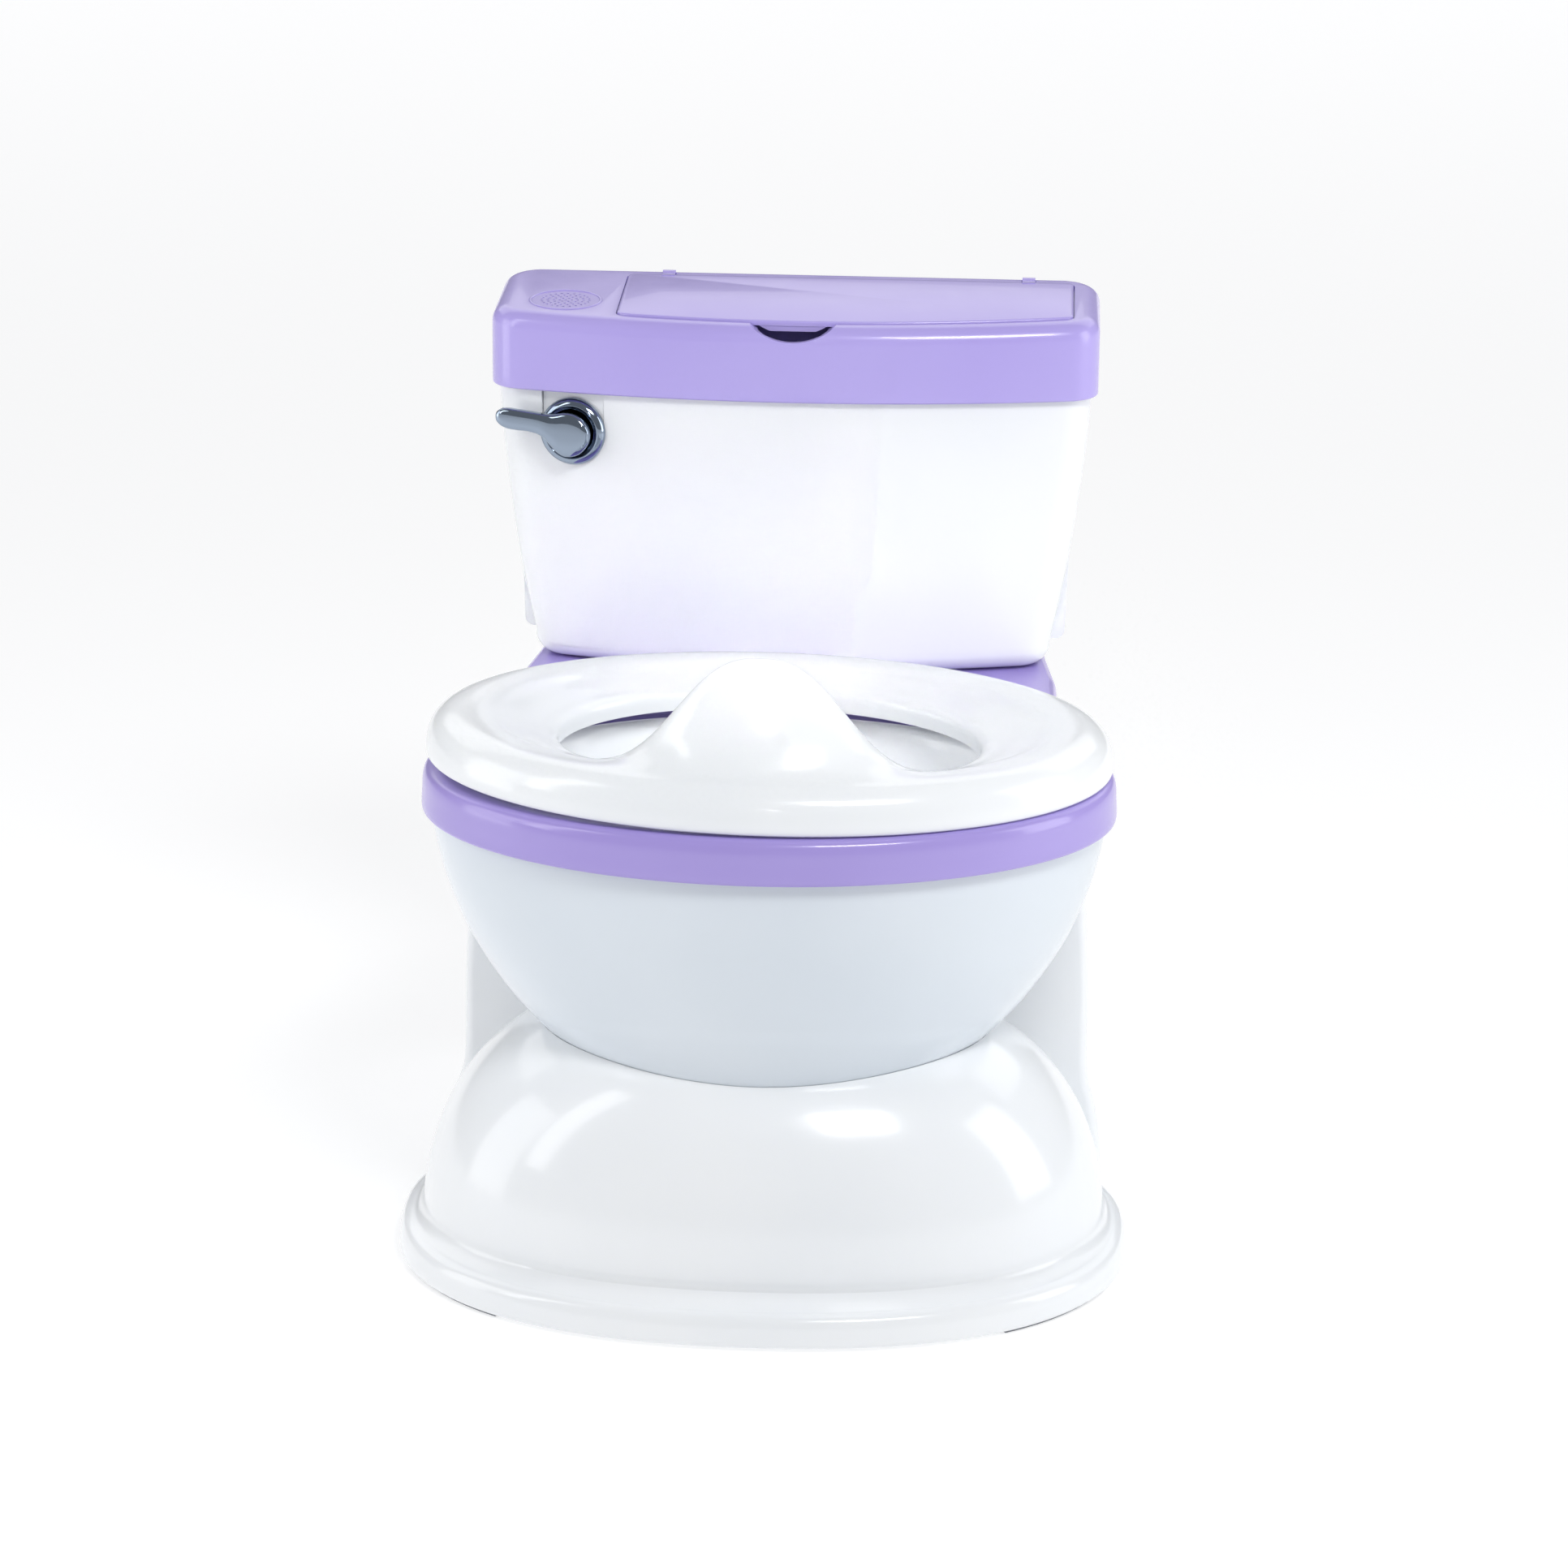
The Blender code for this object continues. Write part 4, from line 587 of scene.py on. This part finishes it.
def seat_ring(crease_share, open_share, inset, z, guard_share, lean):
    shares = (1 - crease_share - open_share, crease_share, open_share)
    sizes = (SEAT_OUTER, SEAT_CREASE, SEAT_OPENING)
    width, depth = (sum(share * size[i] for share, size in zip(shares, sizes)) - inset for i in range(2))
    points = []
    for i in range(AROUND):
        angle = 2 * pi * i / AROUND
        angle -= SEAT_CROWDING * cos(angle)
        x, y = width * cos(angle), BOWL_Y + depth * sin(angle)
        share = 0.5 ** (abs(x / GUARD_SPREAD) ** GUARD_POWER) if y <= BOWL_Y else 0.0
        lift = SEAT_RISE - SEAT_ROLL * x + SEAT_PITCH * (y - BOWL_Y)
        points.append(Vector((x, y + lean * share, z + GUARD_HEIGHT * guard_share * share + lift)))
    return points


def make_seat():
    top = smooth_rings([seat_ring(*row) for row in SEAT_TOP], 5)
    under = smooth_rings([seat_ring(*row) for row in SEAT_UNDER], 3)
    seat = new_object("seat_fine", loft(top + under, closed=True), WHITE)
    settle(seat, 60)
    show(seat, "seat", "seat", slot="white_plastic")


# ------------------------------------------------------------------ tank
TANK_WIDTHS = [              # z, half-width
    (0.2015, 0.1110), (0.2125, 0.1137), (0.2290, 0.1171), (0.2510, 0.1210), (0.2730, 0.1240), (0.3000, 0.1271),
    (0.3240, 0.1287), (0.3450, 0.1287),
]
TANK_FRONTS = [(0.2015, 0.0935), (0.2400, 0.0915), (0.3240, 0.0893), (0.3450, 0.0893)]
TANK_CORNER = 0.016
GRIP_CORNERS = [(0.1125, 0.2085), (0.1200, 0.2085), (0.1212, 0.2500), (0.1170, 0.2500)]
GRIP_Y = (0.138, 0.1415)
LID_SCREW_X, LID_SCREW_Z = 0.0900, 0.3335


def tank_section(z, width, inset=0.0):
    front_y = between(TANK_FRONTS, z) + inset
    return at_height(bowed_outline(width - inset, front_y, TANK_BACK_Y - inset, TANK_CORNER - inset), z)


lever_width = between(TANK_WIDTHS, LEVER_Z) - TANK_CORNER
LEVER_SLOPE = atan(2 * FRONT_BOW * LEVER_X / lever_width ** 2)
LEVER_Y = between(TANK_FRONTS, LEVER_Z) + FRONT_BOW * (LEVER_X / lever_width) ** 2
LEVER_FRAME = Matrix.Translation((LEVER_X, LEVER_Y, LEVER_Z)) @ Matrix.Rotation(LEVER_SLOPE, 4, "Z")


def plate(half_width, front, back, rise, steps=40):
    """An upright plate, round below and straight above, in the lever's frame."""
    angles = [pi + pi * k / steps for k in range(steps + 1)]
    outline = [Vector((half_width * cos(angle), half_width * sin(angle))) for angle in angles]
    outline += [Vector((half_width, rise)), Vector((-half_width, rise))]
    return loft([[Vector((p.x, y, p.y)) for p in outline] for y in (front, back)])


def make_tank():
    widths = dense(TANK_WIDTHS[1:], 5)
    foot_z, foot_width = TANK_WIDTHS[1]
    quarter = [pi / 2 * k / 9 for k in range(9)]
    foot = [(TANK_EDGE * (1 - sin(angle)), TANK_EDGE * (1 - cos(angle))) for angle in quarter]
    rings = [at_height(tank_section(foot_z, foot_width, inset), TANK_BOTTOM + rise) for inset, rise in foot]
    rings += [tank_section(z, w) for z, w in widths]
    rings += [tank_section(z, w, WALL) for z, w in reversed(widths[::5])]
    rings += [at_height(tank_section(foot_z, foot_width, WALL + 0.005), TANK_BOTTOM + WALL)]
    tank = new_object("tank_fine", loft(rings), WHITE)
    for side in (-1, 1):
        outline = rounded_outline([(side * x, z) for x, z in GRIP_CORNERS], [0, 0.004, 0, 0], 8)
        join(tank, loft([[Vector((p.x, y, p.y)) for p in outline] for y in GRIP_Y]))
    cut(tank, plate(PLATE_HALF + GAP, -0.02, 0.0085, 0.04), LEVER_FRAME)
    low, high = BATTERY_Z
    cut(tank, box(
        (BATTERY_X - BATTERY_HALF - GAP, TANK_BACK_Y - 0.006, low - 0.001),
        (BATTERY_X + BATTERY_HALF + GAP, TANK_BACK_Y + 0.01, high + 0.001),
    ))
    lid_holes = [(side * LID_SCREW_X, TANK_BACK_Y - 0.008, LID_SCREW_Z) for side in (-1, 1)]
    cut(tank, cylinders([(x, y, TANK_BOTTOM - 0.004) for x, y in TANK_SCREWS], 0.012, SCREW_HOLE))
    cut(tank, cylinders(lid_holes, 0.012, SCREW_HOLE, "Y"))
    settle(tank, 35)
    show(tank, "chair", "tank_shell", slot="white_plastic")


def make_lever_plate():
    cover = plate(PLATE_HALF, 0.0, WALL, LID_BOTTOM + 0.018 - LEVER_Z)
    cover = new_object("lever_plate_fine", cover, WHITE, LEVER_FRAME)
    for low_corner, high_corner in (
        ((-0.0120, 0.0015, -0.0045), (-0.0065, 0.0065, -0.0020)),
        ((-0.0120, 0.0045, -0.0205), (-0.0065, 0.0065, -0.0025)),
        ((-0.0135, 0.0050, -0.0205), (-0.0060, 0.0175, -0.0183)),
    ):
        join(cover, box(low_corner, high_corner), LEVER_FRAME)
    cut(cover, cylinders([(0, -0.01, 0)], 0.03, 0.0033, "Y", 32), LEVER_FRAME)
    settle(cover, 35, 0.0003)
    show(cover, "chair", "lever_plate", slot="white_plastic")


# ------------------------------------------------------------------ lid
LID_TOP_FRONT, LID_TOP_BACK = 0.3570, 0.3628
LID_CORNER = 0.017
LID_SLOPE = (LID_TOP_BACK - LID_TOP_FRONT) / (LID_BACK_Y - LID_FRONT_Y)


def lid_top(y):
    return LID_TOP_FRONT + (y - LID_FRONT_Y) * LID_SLOPE


HINGE_Z = lid_top(HINGE_Y) - 0.0014


def lid_ring(inset, drop=None, z=None):
    """A lid section inset from its edge, drop below the slanted top or level at z."""
    outline = bowed_outline(LID_HALF - inset, LID_FRONT_Y + inset, LID_BACK_Y - inset, LID_CORNER - inset)
    return [Vector((p.x, p.y, z if drop is None else lid_top(p.y) - drop)) for p in outline]


def door_bow(x):
    """How far the door's front edge lies behind its middle."""
    return FRONT_BOW * (x / 0.115) ** 2


def door_outline(grow=0.0, steps=36):
    low_x, high_x = DOOR_X[0] - grow, DOOR_X[1] + grow
    front_y, back_y = DOOR_FRONT_Y - grow, DOOR_BACK_Y + grow
    front = []
    for k in range(steps + 1):
        x = low_x + 0.007 + (high_x - low_x - 0.014) * k / steps
        front.append((x, front_y + door_bow(x)))
    sides = [(high_x, front[-1][1] + 0.002), (high_x, back_y), (low_x, back_y), (low_x, front[0][1] + 0.002)]
    return rounded_outline(front + sides, [0.0] * len(front) + [0.005, 0.003, 0.003, 0.005], 8)


def door_slab(levels):
    """The door's plan at levels measured from the slanted lid top, each (grow, level)."""
    return loft([
        [Vector((p.x, p.y, lid_top(p.y) + level)) for p in door_outline(grow)] for grow, level in levels
    ])


def grille_places():
    x, y = SPEAKER
    for radius, count in ((0.0, 1), (0.0026, 6), (0.0052, 12), (0.0078, 18), (0.0104, 24)):
        for k in range(count):
            angle = 2 * pi * k / count
            yield (x + radius * cos(angle), y + radius * sin(angle), 0.350)


def lid_shell():
    angles = [pi / 2 * k / 10 for k in range(11)]
    edge = [(LID_EDGE * (1 - cos(angle)), LID_EDGE * (1 - sin(angle))) for angle in angles]
    wall_start, wall_height, wall_steps = LID_BOTTOM + 0.0012, 0.022, 6
    rings = [lid_ring(0.0006, z=LID_BOTTOM), lid_ring(0.0001, z=LID_BOTTOM + 0.0005)]
    rings += [lid_ring(0.0, z=wall_start)]
    rings += [lid_ring(0.0, z=wall_start + wall_height * k / wall_steps) for k in range(1, wall_steps + 1)]
    lid = new_object("tank_lid_fine", loft(rings + [lid_ring(i, d) for i, d in edge]), LILAC)
    inner = LID_EDGE - LID_WALL
    hollow = [lid_ring(LID_WALL, z=LID_BOTTOM - 0.01)]
    for angle in (0, pi / 4, pi / 2):
        hollow.append(lid_ring(LID_WALL + inner * (1 - cos(angle)), LID_WALL + inner * (1 - sin(angle))))
    cut(lid, loft(hollow))
    return lid


def cut_hinge(lid, knuckle):
    """Ears beside one of the door's knuckles, with the gap it turns in and the pin's bore."""
    half, reach = KNUCKLE_LENGTH / 2 + GAP, PIN_LENGTH / 2 + 0.0015
    join(lid, box(
        (knuckle - reach, HINGE_Y - 0.0030, HINGE_Z - 0.0035),
        (knuckle + reach, HINGE_Y + 0.0030, HINGE_Z + 0.0008),
    ))
    cut(lid, box(
        (knuckle - half, DOOR_BACK_Y - 0.0010, HINGE_Z - 0.0045),
        (knuckle + half, HINGE_Y + KNUCKLE_RADIUS + 0.0008, HINGE_Z + 0.01),
    ))
    bore_start = (knuckle - PIN_LENGTH / 2 - GAP, HINGE_Y, HINGE_Z)
    cut(lid, cylinders([bore_start], PIN_LENGTH + 2 * GAP, PIN_RADIUS + GAP, "X", 16))


def make_lid():
    lid = lid_shell()
    cut(lid, door_slab([(0.0005, DOOR_PROUD - DOOR_THICK - GAP), (0.0005, 0.01)]))
    low_x, high_x = DOOR_X[0] + 0.0045, DOOR_X[1] - 0.0060
    corners = [(low_x, 0.1090), (high_x, 0.1090), (high_x, 0.1640), (low_x, 0.1640)]
    opening = rounded_outline(corners, [0.006] * 4)
    cut(lid, loft([at_height(opening, z) for z in (0.34, 0.37)]))
    notch_start = (0.0, LID_FRONT_Y - 0.004, NOTCH_BOTTOM + NOTCH_RADIUS)
    cut(lid, cylinders([notch_start], 0.0220, NOTCH_RADIUS, "Y", 160))
    for knuckle in KNUCKLE_X:
        cut_hinge(lid, knuckle)
    slope = Matrix.Translation((*SPEAKER, lid_top(SPEAKER[1]))) @ Matrix.Rotation(atan(LID_SLOPE), 4, "X")
    join(lid, turned([
        (0.0146, -0.0008), (0.0160, -0.0008), (0.0160, 0.0001), (0.0157, 0.0004), (0.0153, 0.0005),
        (0.0149, 0.0004), (0.0146, 0.0001),
    ], 96, slope, closed=True))
    cut(lid, cylinders(list(grille_places()), 0.02, 0.00062, sides=10))
    holes = [(side * LID_SCREW_X, LID_BACK_Y - 0.006, LID_SCREW_Z) for side in (-1, 1)]
    heads = [(side * LID_SCREW_X, LID_BACK_Y - 0.0016, LID_SCREW_Z) for side in (-1, 1)]
    cut(lid, cylinders(holes, 0.012, SCREW_HOLE, "Y"))
    cut(lid, cylinders(heads, 0.006, 0.0032, "Y"))
    settle(lid, 30)
    show(lid, "chair", "tank_lid", slot="lilac_plastic")


def lip():
    """The lip that hangs from the door's front edge over the finger notch, a little inside its arc."""
    arc, middle = NOTCH_RADIUS - LIP_CLEARANCE, NOTCH_BOTTOM + NOTCH_RADIUS
    lip_top, steps = lid_top(DOOR_FRONT_Y) + DOOR_PROUD - 0.0004, 20
    right = []
    for k in range(steps + 1):
        z = LIP_BOTTOM + (lip_top - LIP_BOTTOM) * k / steps
        right.append((sqrt(arc ** 2 - (middle - z) ** 2), z))
    outline = right + [(-x, z) for x, z in reversed(right)]
    front = DOOR_FRONT_Y + 0.0002
    return loft([[Vector((x, y + door_bow(x), z)) for x, z in outline] for y in (front, front + 0.0018)])


def make_door():
    top = DOOR_PROUD
    door = new_object("wipes_door_fine", door_slab([
        (0.0, top - DOOR_THICK), (0.0, top - 0.0009), (-0.00012, top - 0.00045), (-0.00045, top - 0.00012),
        (-0.0009, top),
    ]), LILAC)
    join(door, lip())
    for knuckle in KNUCKLE_X:
        low_x, high_x = knuckle - KNUCKLE_LENGTH / 2, knuckle + KNUCKLE_LENGTH / 2
        join(door, box((low_x, DOOR_BACK_Y - 0.0030, HINGE_Z + 0.0004), (high_x, HINGE_Y, HINGE_Z + 0.0022)))
        join(door, cylinders([(low_x, HINGE_Y, HINGE_Z)], KNUCKLE_LENGTH, KNUCKLE_RADIUS, "X", 32))
        cut(door, cylinders([(knuckle - 0.005, HINGE_Y, HINGE_Z)], 0.010, PIN_RADIUS + GAP, "X", 16))
    settle(door, 30)
    show(door, "wipes_door", "wipes_door", slot="lilac_plastic")


# ------------------------------------------------------------------ flush lever
LEVER_SECTIONS = [           # reach to the left of the pivot, bottom, top, half-thickness
    (-0.0104, -0.0010, 0.0010, 0.0008), (-0.0097, -0.0034, 0.0034, 0.0022),
    (-0.0082, -0.0058, 0.0058, 0.0029), (-0.0055, -0.0082, 0.0082, 0.0031),
    (-0.0020, -0.0095, 0.0095, 0.0032), (0.0015, -0.0094, 0.0096, 0.0032),
    (0.0045, -0.0078, 0.0090, 0.0032), (0.0072, -0.0052, 0.0085, 0.0031),
    (0.0098, -0.0024, 0.0085, 0.0031), (0.0130, -0.0005, 0.0088, 0.0030),
    (0.0175, 0.0004, 0.0092, 0.0030), (0.0225, 0.0006, 0.0096, 0.0030),
    (0.0270, 0.0010, 0.0099, 0.0029), (0.0300, 0.0022, 0.0095, 0.0026),
    (0.0318, 0.0038, 0.0082, 0.0019), (0.0325, 0.0052, 0.0068, 0.0008),
]


def lever_rows(steps):
    """The sections with more between them: one curve for bottom and top, another for the thickness."""
    edges = spline([(reach, bottom, top) for reach, bottom, top, _ in LEVER_SECTIONS], steps)
    depths = spline([(reach, thick, 0.0) for reach, _, _, thick in LEVER_SECTIONS], steps)
    table = [(p[0], p[1]) for p in depths]
    return [(p[0], p[1], p[2], between(table, p[0])) for p in edges]


def lever_ring(reach, bottom, top, thick, count=64):
    middle, half, power = (bottom + top) / 2, (top - bottom) / 2, 2 / 3.4
    ring = []
    for k in range(count):
        angle = 2 * pi * (k + 0.5) / count
        depth = LEVER_DEPTH + thick * signed_power(cos(angle), power)
        ring.append(Vector((-reach, depth, middle + half * signed_power(sin(angle), power))))
    return ring


def make_lever():
    rings = [lever_ring(*row) for row in lever_rows(6)]
    arm = new_object("flush_lever_fine", loft(rings), CHROME, LEVER_FRAME)
    join(arm, cylinders([(0, LEVER_DEPTH, 0)], 0.0077, 0.0041, "Y", 40), LEVER_FRAME)
    join(arm, cylinders([(0, -0.0050, 0)], 0.0210, 0.0030, "Y", 40), LEVER_FRAME)
    cut(arm, cylinders([(0, 0.0090, 0)], 0.02, 0.0014, "Y", 24), LEVER_FRAME)
    settle(arm, 35)
    show(arm, "flush_lever", "flush_lever", slot="chrome")


def make_escutcheon():
    turn = LEVER_FRAME @ Matrix.Rotation(pi / 2, 4, "X")
    bore, radius, front, back = 0.0044, 0.0148, 0.0026, 0.0009
    rim = spline([                      # radius, depth
        (0.0100, -front), (0.0106, -0.0030), (0.0112, -0.0040), (0.0118, -0.0043), (0.0126, -0.0041),
        (0.0138, -0.0032), (0.0146, -0.0020), (radius, -0.0012),
    ], 5)
    profile = [(bore, front)] + [(reach, -depth) for reach, depth in rim] + [(radius, back), (bore, back)]
    ring = new_object("escutcheon_fine", turned(profile, 96, turn, closed=True), CHROME)
    settle(ring, 35)
    show(ring, "chair", "escutcheon", slot="chrome")


# ------------------------------------------------------------------ nodes kept from the CAD
KEPT = {
    WHITE: ("lever_crank", "switch_plunger", "battery_cover"),
    LILAC: ("wipes_tray",),
    STEEL: (
        "door_pin_left", "door_pin_right", "crank_screw", "lever_spring", "board_screw_lower",
        "board_screw_upper", "battery_cover_screw", "lid_screw_left", "lid_screw_right", "deck_screw_left",
        "deck_screw_right", "tank_screw_front_left", "tank_screw_front_right", "tank_screw_rear_left",
        "tank_screw_rear_right",
    ),
    RUBBER: ("pad_front_left", "pad_front_right", "pad_rear_left", "pad_rear_right"),
    BLACK: ("switch_body", "speaker", "battery_box"),
    GREEN: ("circuit_board",),
    WRAP: ("battery_left", "battery_right"),
}


def dress_kept_nodes():
    for material, names in KEPT.items():
        for name in names:
            mesh = nodes[name].data
            mesh.materials.clear()
            mesh.materials.append(material.material)


# ------------------------------------------------------------------ stage
LIGHTS = [                   # name, place, target, size, watts, beam in degrees
    ("soft_right", (0.45, -0.95, 1.35), (0.0, 0.0, 0.20), (0.50, 0.34), 10, 180),
    ("strip_left", (-0.95, -0.55, 0.85), (0.0, 0.0, 0.15), (0.22, 1.10), 2.6, 180),
    ("tank_fill", (0.0, -1.20, 0.75), (0.0, 0.09, 0.225), (0.24, 0.05), 0.035, 9),
    ("side_right", (1.30, -0.15, 0.60), (0.0, 0.0, 0.20), (0.60, 1.00), 5.6, 180),
    ("side_left", (-1.30, -0.20, 0.50), (0.0, 0.0, 0.20), (0.60, 1.00), 3.8, 180),
    ("back_top", (0.0, 5.0, 3.5), (0.0, 4.6, 0.0), (10.0, 6.0), 205, 180),
]


def make_stage():
    """A pale floor that glows a little, so that it stays near white, and soft lights."""
    pale = Material("pale_floor", (0.55, 0.55, 0.555, 1.0), 0.7)
    pale.set(Emission_Color=(1.0, 1.0, 1.0, 1.0), Emission_Strength=0.52)
    pale.bump(pale.noise(40.0, 2.0), 0.02, 0.001)
    new_object("floor", box((-8, -5, -0.01), (8, 12, 0.0)), pale)
    world = bpy.data.worlds.new("studio")
    scene.world = world
    world.use_nodes = True
    background = world.node_tree.nodes["Background"]
    background.inputs["Color"].default_value = (0.95, 0.97, 1.0, 1.0)
    background.inputs["Strength"].default_value = 0.27
    for name, place, target, size, watts, beam in LIGHTS:
        light = bpy.data.lights.new(name, "AREA")
        light.shape = "RECTANGLE"
        light.size, light.size_y = size
        light.energy, light.spread = watts, radians(beam)
        lamp = bpy.data.objects.new(name, light)
        lamp.location = place
        lamp.rotation_euler = (Vector(target) - Vector(place)).to_track_quat("-Z", "Y").to_euler()
        scene.collection.objects.link(lamp)


def make_camera():
    camera = bpy.data.objects.new("camera", bpy.data.cameras.new("camera"))
    camera.data.lens = 115.74
    camera.data.sensor_width = 36.0
    camera.data.clip_start, camera.data.clip_end = 0.05, 50.0
    right = Vector((0.9984, 0.0555, 0.0108))
    up = Vector((-0.0269, 0.2986, 0.9540))
    back = right.cross(up).normalized()
    up = back.cross(right).normalized()
    right.normalize()
    turn = Matrix((right, up, back)).transposed().to_4x4()     # the camera's axes as columns
    camera.matrix_world = Matrix.Translation((0.1089, -2.0211, 0.8162)) @ turn
    scene.collection.objects.link(camera)
    scene.camera = camera


make_camera()
make_stage()
make_bowl()
make_base()
make_deck()
make_pot()
make_seat()
make_tank()
make_lever_plate()
make_lid()
make_door()
make_lever()
make_escutcheon()
dress_kept_nodes()
scene.view_settings.view_transform = "Standard"
